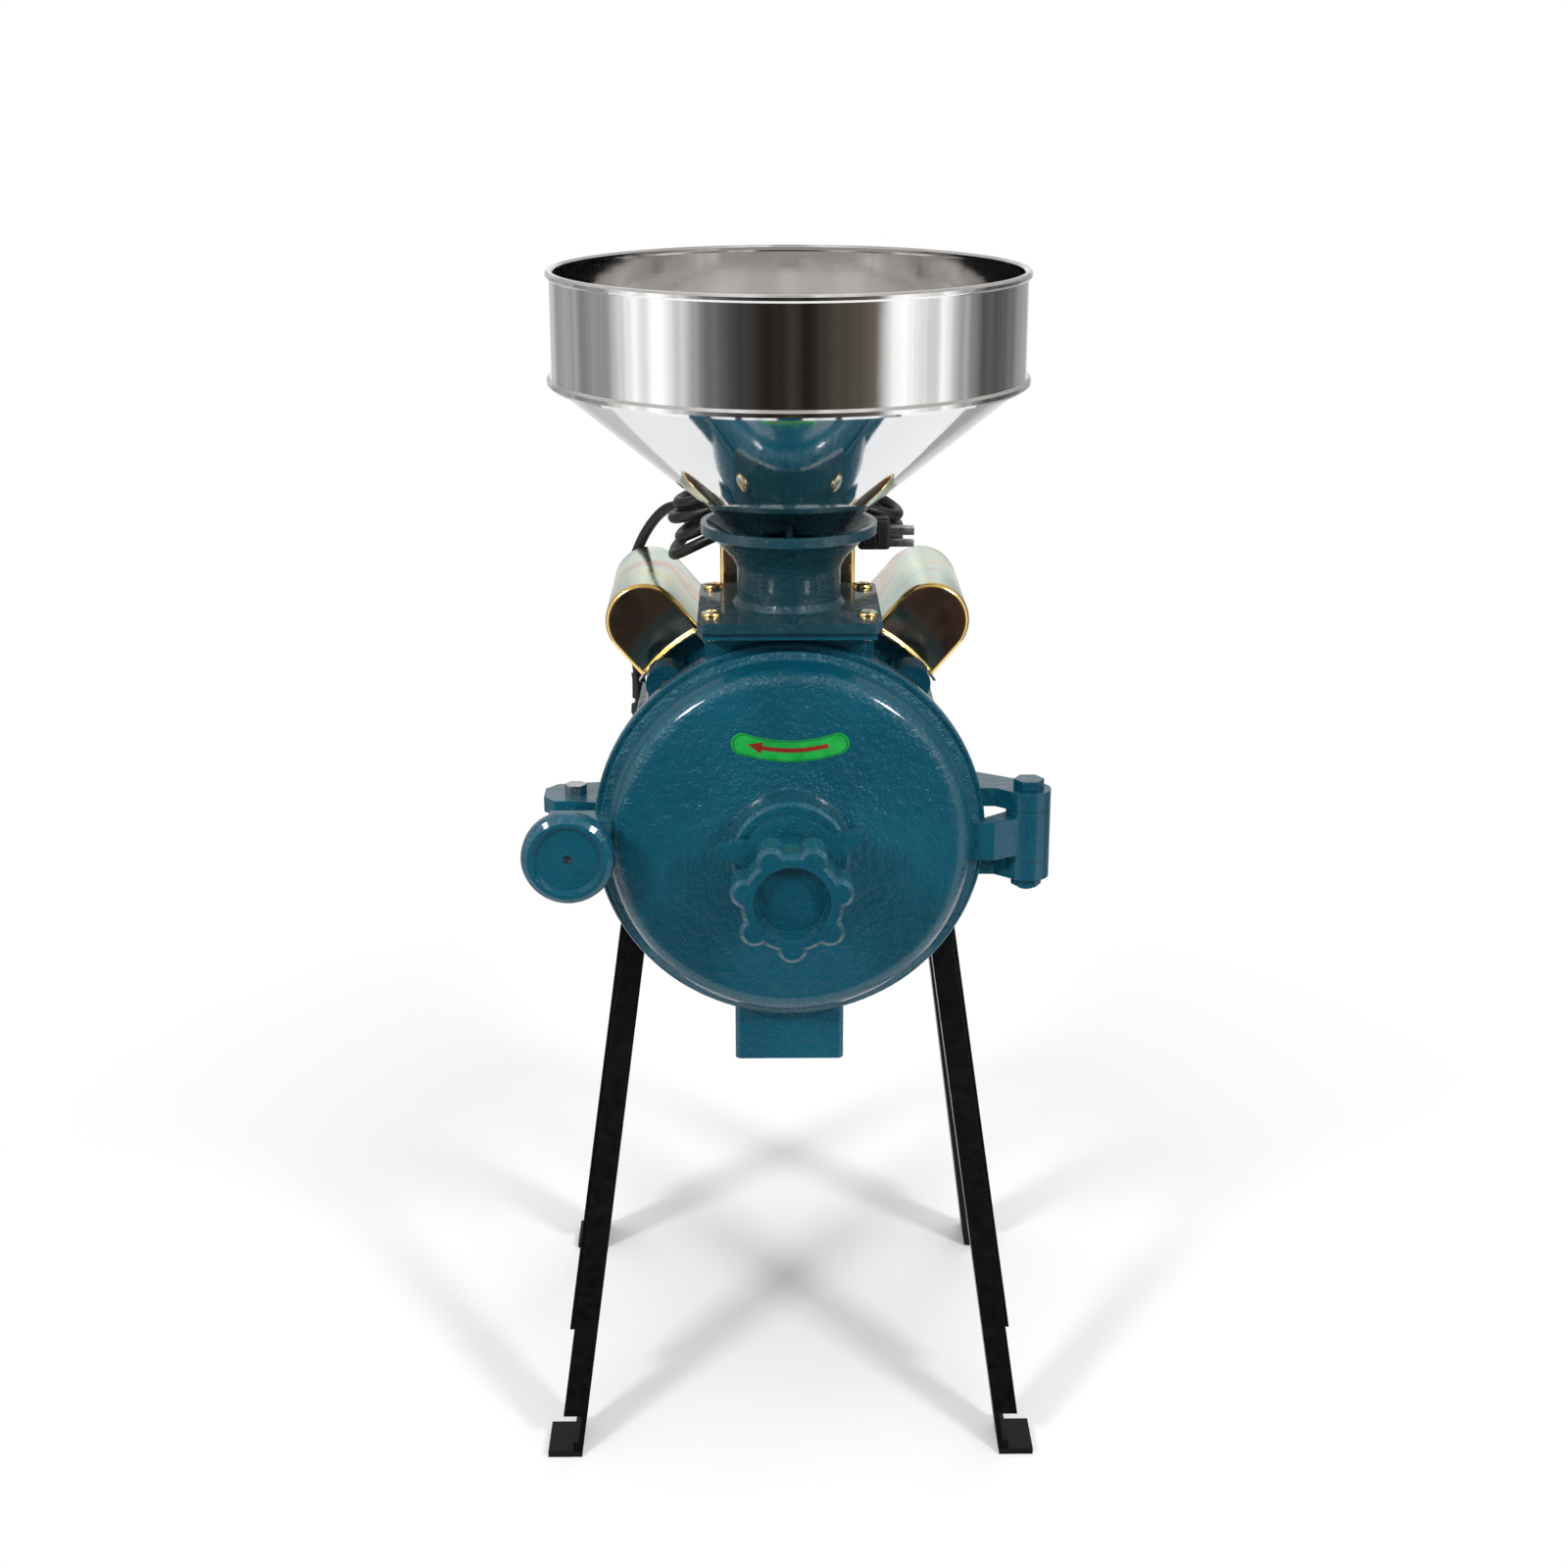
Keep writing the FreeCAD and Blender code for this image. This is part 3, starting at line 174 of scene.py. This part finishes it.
def hopper_steel():
    """Polished stainless sheet, spun and buffed, with a soft waviness and fine scratches."""
    paint = Paint("hopper_steel", Metallic=1.0)
    paint.colour(paint.ramp(paint.noise(9, 3), (0.3, (0.84, 0.83, 0.82)), (0.7, (0.9, 0.9, 0.91))))
    buffed = paint.noise(60, 4, 0.6, stretch=(1, 1, 14))
    paint.roughness(buffed, 0.3, 0.7, 0.03, 0.08)
    paint.bump(paint.weighted((paint.noise(26, 2), 1), (buffed, 0.04)), 0.0006, 0.2)
    return paint.material


def bright_steel():
    paint = Paint("bright_steel", Metallic=1.0)
    paint.colour(paint.ramp(paint.noise(120, 3), (0.35, (0.48, 0.48, 0.5)), (0.7, (0.68, 0.68, 0.7))))
    paint.roughness(paint.noise(300, 3), 0.3, 0.7, 0.22, 0.42)
    paint.bump(paint.noise(700, 2), 0.0001, 0.5, 0.0004)
    return paint.material


def yellow_zinc(name, relief):
    """Passivated zinc, whose film turns from gold to rose and pale green. The colour also follows which way a face
    points: golden where it turns partly along Y, and pinker where it points along Y.
    """
    paint = Paint(name, Metallic=1.0)
    film = paint.noise(11, 3, 0.55, distortion=1.2)
    fine = paint.noise(85, 3)
    tone = paint.weighted((film, 0.85), (fine, 0.15))
    wall = paint.ramp(tone, (0.3, linear(236, 222, 164)), (0.4, linear(236, 242, 212)), (0.5, linear(220, 244, 232)),
                      (0.58, linear(232, 216, 204)), (0.66, linear(226, 204, 162)))
    end = paint.ramp(tone, (0.32, linear(214, 192, 172)), (0.48, linear(226, 190, 172)), (0.6, linear(236, 178, 150)),
                     (0.7, linear(206, 182, 192)))
    golden_rim = linear(255, 214, 128)
    facing = paint.add("TexCoord").outputs["Normal"]
    along = paint.add("SeparateXYZ", {"Vector": facing}).outputs[1]
    flat = paint.calculate("MULTIPLY", along, along)
    body = paint.mix(paint.span(flat, 0.02, 0.2), wall, golden_rim)
    paint.colour(paint.mix(paint.span(flat, 0.9, 0.99), body, end))
    paint.roughness(fine, 0.3, 0.7, 0.12, 0.22)
    paint.bump(paint.weighted((paint.noise(22, 2), 1), (fine, 0.1)), relief, 0.2, 0.0006)
    return paint.material


def black_paint():
    """Black enamel on hot-rolled angle, with dust and small runs."""
    paint = Paint("black_paint", Specular_IOR_Level=0.15)
    dust = paint.noise(160, 4, 0.65)
    paint.colour(paint.ramp(dust, (0.35, (0.0006, 0.0006, 0.0009)), (0.72, (0.002, 0.002, 0.0026))))
    paint.roughness(dust, 0.3, 0.75, 0.25, 0.42)
    paint.bump(paint.weighted((dust, 1), (paint.noise(40, 2), 1)), 0.0003, 0.5, 0.0007)
    return paint.material


def cast_iron():
    paint = Paint("cast_iron", Metallic=0.85)
    grain = paint.noise(500, 4, 0.7)
    paint.colour(paint.ramp(paint.noise(60, 4), (0.3, (0.12, 0.12, 0.125)), (0.7, (0.23, 0.225, 0.22))))
    paint.roughness(grain, 0.3, 0.7, 0.4, 0.65)
    paint.bump(grain, 0.0005, 0.6, 0.0008)
    return paint.material


def core_steel():
    """Stacked laminations, whose edges run round the shaft."""
    paint = Paint("core_steel", Metallic=1.0, Roughness=0.45)
    sheets = paint.wave(320, "Y", 0.3)
    paint.colour(paint.ramp(sheets, (0.2, (0.1, 0.1, 0.105)), (0.8, (0.32, 0.32, 0.33))))
    paint.bump(sheets, 0.0002, 0.6)
    return paint.material


def copper_wire():
    paint = Paint("copper_wire", Metallic=0.9, Roughness=0.35)
    strands = paint.wave(220, "DIAGONAL", 3.0)
    paint.colour(paint.ramp(strands, (0.2, (0.2, 0.06, 0.02)), (0.8, (0.6, 0.25, 0.1))))
    paint.bump(strands, 0.0006, 0.8)
    return paint.material


def soft_black(name, value, rough, grain):
    """Rubber or moulded plastic, a little greyer where it has been handled."""
    paint = Paint(name)
    wear = paint.noise(70, 4, 0.6)
    paint.colour(paint.ramp(wear, (0.35, (value, value, value * 1.03)), (0.75, (value * 2.2,) * 3)))
    paint.roughness(wear, 0.3, 0.7, rough - 0.08, rough + 0.12)
    paint.bump(paint.noise(grain, 3, 0.6), 0.00025, 0.5, 0.0005)
    return paint.material


def printed_film(name, deep, pale):
    paint = Paint(name, Coat_Weight=0.4)
    paint.colour(paint.ramp(paint.noise(130, 4, 0.6), (0.35, deep), (0.65, pale)))
    paint.roughness(paint.noise(210, 2), 0.3, 0.7, 0.22, 0.38)
    paint.bump(paint.noise(190, 2), 0.0002, 0.4)
    return paint.material


LOOKS = {
    "blue_paint": casting_paint("blue_paint", linear(3, 66, 84), linear(7, 81, 101), linear(18, 100, 120)),
    "neck_paint": casting_paint("neck_paint", linear(16, 52, 62), linear(24, 66, 78), linear(44, 88, 100)),
    "polished_steel": hopper_steel(),
    "bright_steel": bright_steel(),
    "yellow_zinc": yellow_zinc("yellow_zinc", 0.0006),
    "zinc_screws": yellow_zinc("zinc_screws", 0.00024),
    "black_paint": black_paint(),
    "cast_iron": cast_iron(),
    "core_steel": core_steel(),
    "copper_wire": copper_wire(),
    "black_rubber": soft_black("black_rubber", 0.0025, 0.38, 900),
    "black_plastic": soft_black("black_plastic", 0.0035, 0.45, 1200),
    "green_label": printed_film("green_label", linear(16, 146, 54), linear(30, 168, 70)),
    "red_print": printed_film("red_print", linear(112, 26, 22), linear(140, 40, 30)),
    "green_print": printed_film("green_print", linear(10, 104, 50), linear(18, 122, 60)),
}


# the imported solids

def smooth_by_angle(degrees):
    """A node group that welds a solid's facets and rounds its shading, except over sharp edges."""
    group = bpy.data.node_groups.new("smooth_by_angle", "GeometryNodeTree")
    for direction in ("INPUT", "OUTPUT"):
        group.interface.new_socket("Geometry", in_out=direction, socket_type="NodeSocketGeometry")
    add, link = group.nodes.new, group.links.new
    weld = add("GeometryNodeMergeByDistance")
    weld.inputs["Distance"].default_value = 0.00001
    faces, edges = add("GeometryNodeSetShadeSmooth"), add("GeometryNodeSetShadeSmooth")
    edges.domain = "EDGE"
    edges.inputs["Shade Smooth"].default_value = False
    sharp = add("FunctionNodeCompare")
    sharp.operation = "GREATER_THAN"
    sharp.inputs[1].default_value = math.radians(degrees)
    link(add("GeometryNodeInputMeshEdgeAngle").outputs["Unsigned Angle"], sharp.inputs[0])
    link(sharp.outputs[0], edges.inputs["Selection"])
    link(add("NodeGroupInput").outputs[0], weld.inputs[0])
    link(weld.outputs[0], faces.inputs[0])
    link(faces.outputs[0], edges.inputs[0])
    link(edges.outputs[0], add("NodeGroupOutput").inputs[0])
    return group


SMOOTH = smooth_by_angle(28)
# These are painted separately from the other castings, in a greyer shade.
GREYER = ("inlet_casting", "hopper_set_screw")

for part in frame["record"]["subparts"]:
    node, slot = part["node"], part["material_slot"]
    item = frame["nodes"][node]
    item.data.materials.clear()
    item.data.materials.append(LOOKS["neck_paint" if node in GREYER else slot])
    item.modifiers.new("smooth", "NODES").node_group = SMOOTH


# meshes

def piece(name, mesh, look, body, crease=None):
    """A new object that rides on a body. With a crease angle its faces are smooth between sharper edges."""
    item = bpy.data.objects.new(name, mesh)
    bpy.context.scene.collection.objects.link(item)
    item.data.materials.append(LOOKS[look])
    if crease:
        for face in mesh.polygons:
            face.use_smooth = True
        mesh.set_sharp_from_angle(angle=math.radians(crease))
    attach(item, body)
    return item


def arc(radius, first, last, steps):
    """Points of an arc round the origin, in degrees clockwise from the top."""
    turns = [math.radians(first + (last - first) * index / steps) for index in range(steps + 1)]
    return [(radius * math.sin(turn), radius * math.cos(turn)) for turn in turns]


def circle(radius, sides=32):
    """Points of a circle round the origin, anticlockwise."""
    turns = [index * math.tau / sides for index in range(sides)]
    return [(radius * math.cos(turn), radius * math.sin(turn)) for turn in turns]


def skin(form, loops):
    """Faces from each loop of vertices to the next, all the way round."""
    for low, high in zip(loops, loops[1:]):
        for index in range(len(low)):
            after = (index + 1) % len(low)
            form.faces.new((low[index], low[after], high[after], high[index]))


def closed_skin(form, loops):
    """A skin over the loops, with a face over the first loop and over the last."""
    skin(form, loops)
    form.faces.new(list(reversed(loops[0])))
    form.faces.new(loops[-1])


def mesh_of(form, name):
    """The mesh of a finished form, with its faces turned outward."""
    bmesh.ops.recalc_face_normals(form, faces=form.faces[:])
    mesh = bpy.data.meshes.new(name)
    form.to_mesh(mesh)
    form.free()
    return mesh


def box_mesh(name, boxes, bevel, segments=2):
    """One mesh of several boxes, each two opposite corners, with rounded edges."""
    form = bmesh.new()
    for low, high in boxes:
        low, high = Vector(low), Vector(high)
        made = bmesh.ops.create_cube(form, size=1.0)
        matrix = Matrix.Translation((low + high) / 2) @ Matrix.Diagonal((*(high - low), 1))
        bmesh.ops.transform(form, matrix=matrix, verts=made["verts"])
    bmesh.ops.bevel(form, geom=form.edges[:], offset=bevel, segments=segments, affect="EDGES", profile=0.5)
    return mesh_of(form, name)


# the mains lead

CORD_RADIUS, CORD_LENGTH = 0.0035, 1.41
GLAND = Vector((-0.0995, 0.152, 0.400))
# The route from the gland, up behind the left capacitor cover, to the hank.
LEAD = [GLAND, GLAND + Vector((0, 0, 0.026)), (-0.106, 0.160, 0.456), (-0.107, 0.163, 0.489),
        (-0.097, 0.160, 0.520), (-0.080, 0.143, 0.5444), (-0.065, 0.125, 0.5474), (-0.062, 0.106, 0.5404),
        (-0.0655, 0.0895, 0.5354), (-0.0708, 0.0766, 0.5312), (-0.0719, 0.0666, 0.5298)]
# The route from the last turn of the hank to the plug.
TAIL = [(-0.020, 0.0370, 0.5785), (0.000, 0.0325, 0.5775), (0.017, 0.0300, 0.5695), (0.030, 0.0291, 0.5595),
        (0.044, 0.0290, 0.5505)]

# The hank lies across the capacitor covers, behind the neck: whole turns, and some points of one more.
HANK_Y, HANK_Z = 0.062, 0.5532
HANK_TURNS, LAST_POINTS, HANK_PITCH = 3, 5, 0.0079
# Each turn has straight sides and two round ends.
HANK_HALF_STRAIGHT, HANK_END_RADIUS, HANK_END_POINTS = 0.0470, 0.0232, 8
# Its ends sag by so much at that distance from the middle.
HANK_SAG, HANK_REACH = 0.019, 0.074
# Its turns fan out at the left end: how far each one moves along X and up.
FAN_FROM, FAN_WIDTH = 0.020, 0.054
FAN_ALONG = (-0.002, 0.003, -0.002, 0.002)
FAN_UP = (-0.007, -0.003, 0.002, 0.004)


def on_hank(x, y, layer):
    """A point on the stack of turns, at so many turns from the first."""
    turn = min(int(layer + 0.5), HANK_TURNS)
    loose = max(0.0, (-x - FAN_FROM) / FAN_WIDTH) ** 2
    height = HANK_Z + HANK_PITCH * layer - HANK_SAG * (x / HANK_REACH) ** 2
    return (x + FAN_ALONG[turn] * loose, HANK_Y + y, height + FAN_UP[turn] * loose)


def hank_loop():
    """Points of one turn, from its left end along the front and back again."""
    def end(side, first):
        reach = HANK_END_RADIUS / math.cos(math.pi / HANK_END_POINTS / 2)
        turns = [math.radians(first + (index + 0.5) * 180 / HANK_END_POINTS) for index in range(HANK_END_POINTS)]
        return [(side * HANK_HALF_STRAIGHT + reach * math.cos(turn), reach * math.sin(turn)) for turn in turns]

    left, right = end(-1, 90), end(1, -90)
    front = [(x, -HANK_END_RADIUS) for x in (-0.040, -0.018, 0.018, 0.040)]
    back = [(-x, -y) for x, y in front]
    half = HANK_END_POINTS // 2
    return left[half:] + front + right + back + left[:half]


def build_cord():
    """One lead of its real length: up from the gland, round the hank's turns, and out to the plug."""
    loop = hank_loop()
    count = HANK_TURNS * len(loop) + LAST_POINTS
    points = LEAD + [on_hank(*loop[index % len(loop)], index / len(loop)) for index in range(count)] + TAIL
    curve = bpy.data.curves.new("mains_cord", "CURVE")
    curve.dimensions = "3D"
    curve.bevel_depth = CORD_RADIUS
    curve.bevel_resolution = 5
    curve.resolution_u = 10
    curve.use_fill_caps = True
    line = curve.splines.new("NURBS")
    line.points.add(len(points) - 1)
    for spot, point in zip(line.points, points):
        spot.co = (*point, 1)
    line.order_u = 3
    line.use_endpoint_u = True
    cord = piece("mains_cord", curve, "black_rubber", "base")
    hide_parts("cord_lead", "cord_hank")
    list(build_plug())
    build_strain_relief(centre_line(curve))


def centre_line(curve):
    """Points along the cord's own spline."""
    bare = curve.copy()
    bare.bevel_depth = 0
    item = bpy.data.objects.new("bare", bare)
    bpy.context.scene.collection.objects.link(item)
    bpy.context.view_layer.update()
    graph = bpy.context.evaluated_depsgraph_get()
    mesh = bpy.data.meshes.new_from_object(item.evaluated_get(graph))
    points = [vertex.co.copy() for vertex in mesh.vertices]
    bpy.data.objects.remove(item)
    bpy.data.meshes.remove(mesh)
    bpy.data.curves.remove(bare)
    return points


def build_strain_relief(line):
    """Ribbed rubber sleeve that tapers along the first part of the cord."""
    length, wide, narrow = 0.030, 0.0058, 0.0041
    flange, rib, bands, sunk = 0.0006, 0.0005, 12, 0.001
    rings = [(line[0] - Vector((0, 0, sunk)), wide + flange, line[1] - line[0])]
    gone = 0.0
    for before, here in zip(line, line[1:]):
        gone += (here - before).length
        if gone > length:
            break
        share = gone / length
        ridge = rib if int(share * bands) % 2 == 0 else 0.0
        rings.append((here, wide + (narrow - wide) * share + ridge, here - before))
    form = bmesh.new()
    loops = []
    for centre, radius, axis in rings:
        turn = axis.to_track_quat("Z", "Y").to_matrix()
        loops.append([form.verts.new(centre + turn @ Vector((x, y, 0))) for x, y in circle(radius)])
    closed_skin(form, loops)
    piece("strain_relief", mesh_of(form, "strain_relief"), "black_rubber", "base", crease=45)


def build_plug():
    """Moulded plug with grip ribs and three flat pins."""
    low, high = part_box("mains_plug")
    face = low.x + 0.020
    body = [(low, (face, high.y, high.z))]
    pitch, rib, margin = 0.003, 0.0016, 0.004
    starts = [low.x + pitch * (index + 1) for index in range(4)]
    ribs = [((start, low.y - 0.0004, low.z + margin), (start + rib, low.y + 0.001, high.z - margin))
            for start in starts]
    blade, tall, inset, sunk = 0.0016, 0.005, 0.0025, 0.001

    def pin(y, height):
        return ((face - sunk, y, low.z + height), (high.x, y + blade, low.z + height + tall))

    pins = [pin(low.y + inset, 0.009), pin(high.y - inset - blade, 0.009), pin((low.y + high.y - blade) / 2, 0.001)]
    made = [piece("plug_body", box_mesh("plug_body", body, 0.0024, 4), "black_plastic", "base", crease=50),
            piece("plug_ribs", box_mesh("plug_ribs", ribs, 0.0004), "black_plastic", "base", crease=50),
            piece("plug_pins", box_mesh("plug_pins", pins, 0.0003), "bright_steel", "base", crease=50)]
    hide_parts("mains_plug")
    return made


# screws, label and capacitor covers

def build_inlet_screws():
    """Four pan-head screws with a cross recess, through the corners of the inlet plate."""
    low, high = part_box("inlet_screws")
    top, head, rise, shank = high.z, 0.006, 0.0028, 0.0029
    profile = [(shank, low.z), (shank, top - rise), (head, top - rise), (head, top - rise * 0.55),
               (head * 0.9, top - rise * 0.2), (head * 0.7, top - rise * 0.04)]
    arm, slit, deep, taper = 0.0034, 0.0007, 0.0014, 0.75
    quarter = [(arm, -slit), (arm, slit), (slit, slit)]
    form = bmesh.new()
    spots = [(x, y) for x in (low.x + head, high.x - head) for y in (low.y + head, high.y - head)]
    for number, (x, y) in enumerate(spots):
        loops = [[form.verts.new((x + a, y + b, z)) for a, b in circle(radius)] for radius, z in profile]
        skin(form, loops)
        form.faces.new(list(reversed(loops[0])))
        cross = [Matrix.Rotation(math.radians(20 + 37 * number + 90 * arms), 2) @ Vector(corner)
                 for arms in range(4) for corner in quarter]
        lip = [form.verts.new((x + a, y + b, top)) for a, b in cross]
        floor = [form.verts.new((x + a * taper, y + b * taper, top - deep)) for a, b in cross]
        skin(form, [floor, lip])
        form.faces.new(floor)
        borders = [form.edges.get((loop[index - 1], loop[index])) for loop in (loops[-1], lip)
                   for index in range(len(loop))]
        bmesh.ops.triangle_fill(form, edges=borders, use_beauty=True, normal=(0, 0, 1))
    mesh = mesh_of(form, "inlet_screws_detailed")
    screws = piece("inlet_screws_detailed", mesh, "zinc_screws", "base", crease=32)
    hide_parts("inlet_screws")


def build_label_print():
    """Plain curved arrow and border on the green label, which is an arc round a point above the shaft."""
    centre_z, radius = AXIS_Z + 0.146, 0.087
    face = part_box("direction_label")[0].y

    def loop(form, outline, lift):
        """Vertices of an outline in degrees and distances, so far in front of the label."""
        return [form.verts.new((math.sin(math.radians(degrees)) * distance, face - lift,
                                centre_z - math.cos(math.radians(degrees)) * distance))
                for degrees, distance in outline]

    half, middle = 0.0013, radius - 0.0006
    head, neck, tip = 0.0036, -11, -17
    turns = range(neck, 16, 2)
    arrow = [(turn, middle + half) for turn in reversed(turns)]
    arrow += [(neck, middle + head), (tip, middle), (neck, middle - head)]
    arrow += [(turn, middle - half) for turn in turns]
    form = bmesh.new()
    closed_skin(form, [loop(form, arrow, 0.00012), loop(form, arrow, -0.0001)])
    form.normal_update()
    bmesh.ops.triangulate(form, faces=form.faces[:])
    piece("label_arrow", mesh_of(form, "label_arrow"), "red_print", "cover")

    wide, line, half_turn, front, back = 0.0062, 0.0008, 18.6, 0.00008, -0.00012

    def rim(reach):
        """The label's outline: two arcs with round ends, at a distance from the middle line."""
        tips = [(half_turn + math.degrees(x / radius), radius + y) for x, y in arc(reach, 20, 160, 7)]
        outer = [(half_turn * index / 10, radius + reach) for index in range(-10, 11)]
        inner = [(-degrees, distance - 2 * reach) for degrees, distance in outer]
        return outer + tips + inner + [(-degrees, distance) for degrees, distance in reversed(tips)]

    form = bmesh.new()
    outer, inner = rim(wide), rim(wide - line)
    loops = [loop(form, outline, lift) for outline, lift in ((outer, front), (inner, front), (inner, back),
                                                             (outer, back))]
    skin(form, loops + loops[:1])
    piece("label_border", mesh_of(form, "label_border"), "green_print", "cover")


def build_capacitor_covers():
    """Deep-drawn covers with rounded end rims, each with a lip that follows the motor."""
    corner, wall, lip, tilt = 0.0032, 0.0012, 0.004, 40.5
    base, centre, half_wide = 0.115, 0.139, 0.0245
    front, back = AXIS_Y + 0.066, AXIS_Y + 0.181
    under = math.degrees(math.asin(half_wide / base))
    outline = [(x, centre + z) for x, z in arc(half_wide, -90, 90, 30)] + arc(base, under, -under, 12)

    def inset(amount):
        """The outline moved inward by an amount, square to its own line."""
        moved = []
        for index, (x, z) in enumerate(outline):
            before, after = outline[index - 1], outline[(index + 1) % len(outline)]
            along = (Vector(after) - Vector(before)).normalized()
            moved.append((x + along.y * amount, z - along.x * amount))
        return moved

    rim = [(corner - x, corner - z) for x, z in arc(corner, 0, 90, 5)]
    sections = [(inward, front + depth) for inward, depth in rim]
    sections += [(inward, back - depth) for inward, depth in reversed(rim)]
    span = math.degrees(math.asin((half_wide + 0.0022) / base))
    inner, outer = base - 0.0002, base + wall

    for side, word in ((-1, "left"), (1, "right")):
        form = bmesh.new()
        closed_skin(form, [[form.verts.new((x, y, z)) for x, z in inset(inward)] for inward, y in sections])
        for near, far in ((front + lip, front - lip), (back - lip, back + lip)):
            corners = ((inner, near), (inner, far), (outer, far), (outer, near))
            closed_skin(form, [[form.verts.new((x * radius, y, z * radius)) for radius, y in corners]
                               for x, z in arc(1, -span, span, 16)])
        turned = Matrix.Translation((0, 0, AXIS_Z)) @ Matrix.Rotation(math.radians(side * tilt), 4, "Y")
        bmesh.ops.transform(form, matrix=turned, verts=form.verts[:])
        name = f"capacitor_shell_{word}"
        shell = piece(name, mesh_of(form, name), "yellow_zinc", "base", crease=40)
        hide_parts(f"capacitor_cover_{word}")


build_cord()
build_inlet_screws()
build_label_print()
build_capacitor_covers()


# stage, lights and camera

def stage_floor():
    """A round white floor, small enough not to show in the fronts of the castings, that fades to white."""
    reach, middle, fade_from, fade_to = 0.64, 0.24, 0.3, 0.62
    mesh = bpy.data.meshes.new("floor")
    points = [(x, middle + y, 0) for x, y in circle(reach, 96)]
    mesh.from_pydata(points, [], [range(len(points))])
    floor = bpy.data.objects.new("floor", mesh)
    bpy.context.scene.collection.objects.link(floor)
    paint = Paint("floor", Base_Color=(0.79, 0.8, 0.805, 1), Roughness=0.75, Specular_IOR_Level=0.15)
    white = paint.add("Emission", {"Color": WHITE, "Strength": 1.0})
    place = paint.add("SeparateXYZ", {"Vector": paint.place})
    along = paint.calculate("POWER", place.outputs[0], 2.0)
    deep = paint.calculate("POWER", paint.calculate("SUBTRACT", place.outputs[1], middle), 2.0)
    far = paint.calculate("POWER", paint.calculate("ADD", along, deep), 0.5)
    seen = paint.add("LightPath").outputs["Is Camera Ray"]
    share = paint.calculate("MULTIPLY", paint.span(far, fade_from, fade_to), seen)
    mixed = paint.add("MixShader", {0: share, 1: paint.shader.outputs[0], 2: white.outputs[0]})
    paint.links.new(mixed.outputs[0], paint.nodes["Material Output"].inputs["Surface"])
    mesh.materials.append(paint.material)


def area_light(name, place, target, size, power, mirrored=True):
    data = bpy.data.lights.new(name, "AREA")
    data.size, data.energy = size, power
    light = bpy.data.objects.new(name, data)
    bpy.context.scene.collection.objects.link(light)
    light.location = place
    light.rotation_euler = (Vector(target) - Vector(place)).to_track_quat("-Z", "Y").to_euler()
    light.visible_glossy = mirrored


# How bright the room is that metal sees, by shares of a turn round the object. Its middle is the front.
ROOM = ((0.0, 0.8), (0.09, 0.35), (0.15, 0.45), (0.18, 0.2), (0.23, 0.4), (0.28, 0.92), (0.34, 1.0), (0.365, 0.5),
        (0.39, 0.16), (0.43, 0.06), (0.465, 0.025), (0.49, 0.02), (0.502, 0.05), (0.52, 0.02), (0.55, 0.055),
        (0.575, 0.06), (0.595, 0.14), (0.612, 0.2), (0.63, 0.8), (0.66, 1.0), (0.715, 0.95), (0.75, 0.4),
        (0.79, 0.09), (0.83, 0.1), (0.88, 0.2), (0.93, 0.45), (0.98, 0.8))
WARM_FROM, WARM_TO, WARMTH = 0.46, 0.62, 0.7
ABOVE = (0.6, 0.57, 0.54, 1)


def room_colour(sky):
    """Uprights of uneven brightness all round, which blend into an even shade above."""
    def tint(position, value):
        warm = WARMTH if WARM_FROM < position < WARM_TO else 1.0
        return (position, (value, value * (0.5 + warm / 2), value * warm))

    x, y, z = sky.add("SeparateXYZ", {0: sky.add("TexCoord").outputs["Generated"]}).outputs
    turn = sky.calculate("ARCTAN2", x, sky.calculate("MULTIPLY", y, -1))
    share = sky.span(turn, -math.pi, math.pi)
    uprights = sky.ramp(share, *(tint(*stop) for stop in ROOM))
    streaks = sky.add("TexNoise", {"W": share, "Scale": 24, "Detail": 4}, noise_dimensions="1D").outputs["Fac"]
    uneven = sky.mix(1, uprights, sky.span(streaks, 0.35, 0.65, 0.68, 1.15), "MULTIPLY")
    return sky.mix(sky.calculate("MULTIPLY", sky.span(z, 0.25, 0.6), 0.7), uneven, ABOVE)


def surroundings():
    """A white background and an even pale light, while glossy surfaces mirror the room."""
    world = bpy.data.worlds.new("studio")
    bpy.context.scene.world = world
    world.use_nodes = True
    sky = Shading(world.node_tree)
    pale = sky.nodes["Background"]
    pale.inputs["Color"].default_value = WHITE
    pale.inputs["Strength"].default_value = 0.55
    backdrop = sky.add("Background", {"Color": WHITE, "Strength": 1.0})
    room = sky.add("Background", {"Color": room_colour(sky), "Strength": 1.08})
    ray = sky.add("LightPath").outputs
    lit = sky.add("MixShader", {0: ray["Is Glossy Ray"], 1: pale.outputs[0], 2: room.outputs[0]})
    seen = sky.add("MixShader", {0: ray["Is Camera Ray"], 1: lit.outputs[0], 2: backdrop.outputs[0]})
    sky.links.new(seen.outputs[0], sky.nodes["World Output"].inputs["Surface"])


def photo_camera():
    data = bpy.data.cameras.new("camera")
    data.lens, data.sensor_width, data.shift_x = 56.09, 36, -0.0025
    camera = bpy.data.objects.new("camera", data)
    camera.location = (-0.018, -1.4609, 0.8642)
    camera.rotation_euler = (math.radians(72.22), 0, math.radians(-0.7))
    bpy.context.scene.collection.objects.link(camera)
    bpy.context.scene.camera = camera


stage_floor()
area_light("key_left", (-1.7, -1.9, 1.9), (0, 0, 0.35), 0.5, 42)
area_light("key_right", (1.7, -1.9, 1.9), (0, 0, 0.35), 0.5, 42)
area_light("top", (0, -0.2, 2.6), (0, 0, 0.3), 1.6, 22, mirrored=False)
area_light("rear", (0.6, 2.2, 1.8), (0, 0, 0.4), 1.4, 18, mirrored=False)
surroundings()
photo_camera()

bpy.context.scene.view_settings.view_transform = "Standard"
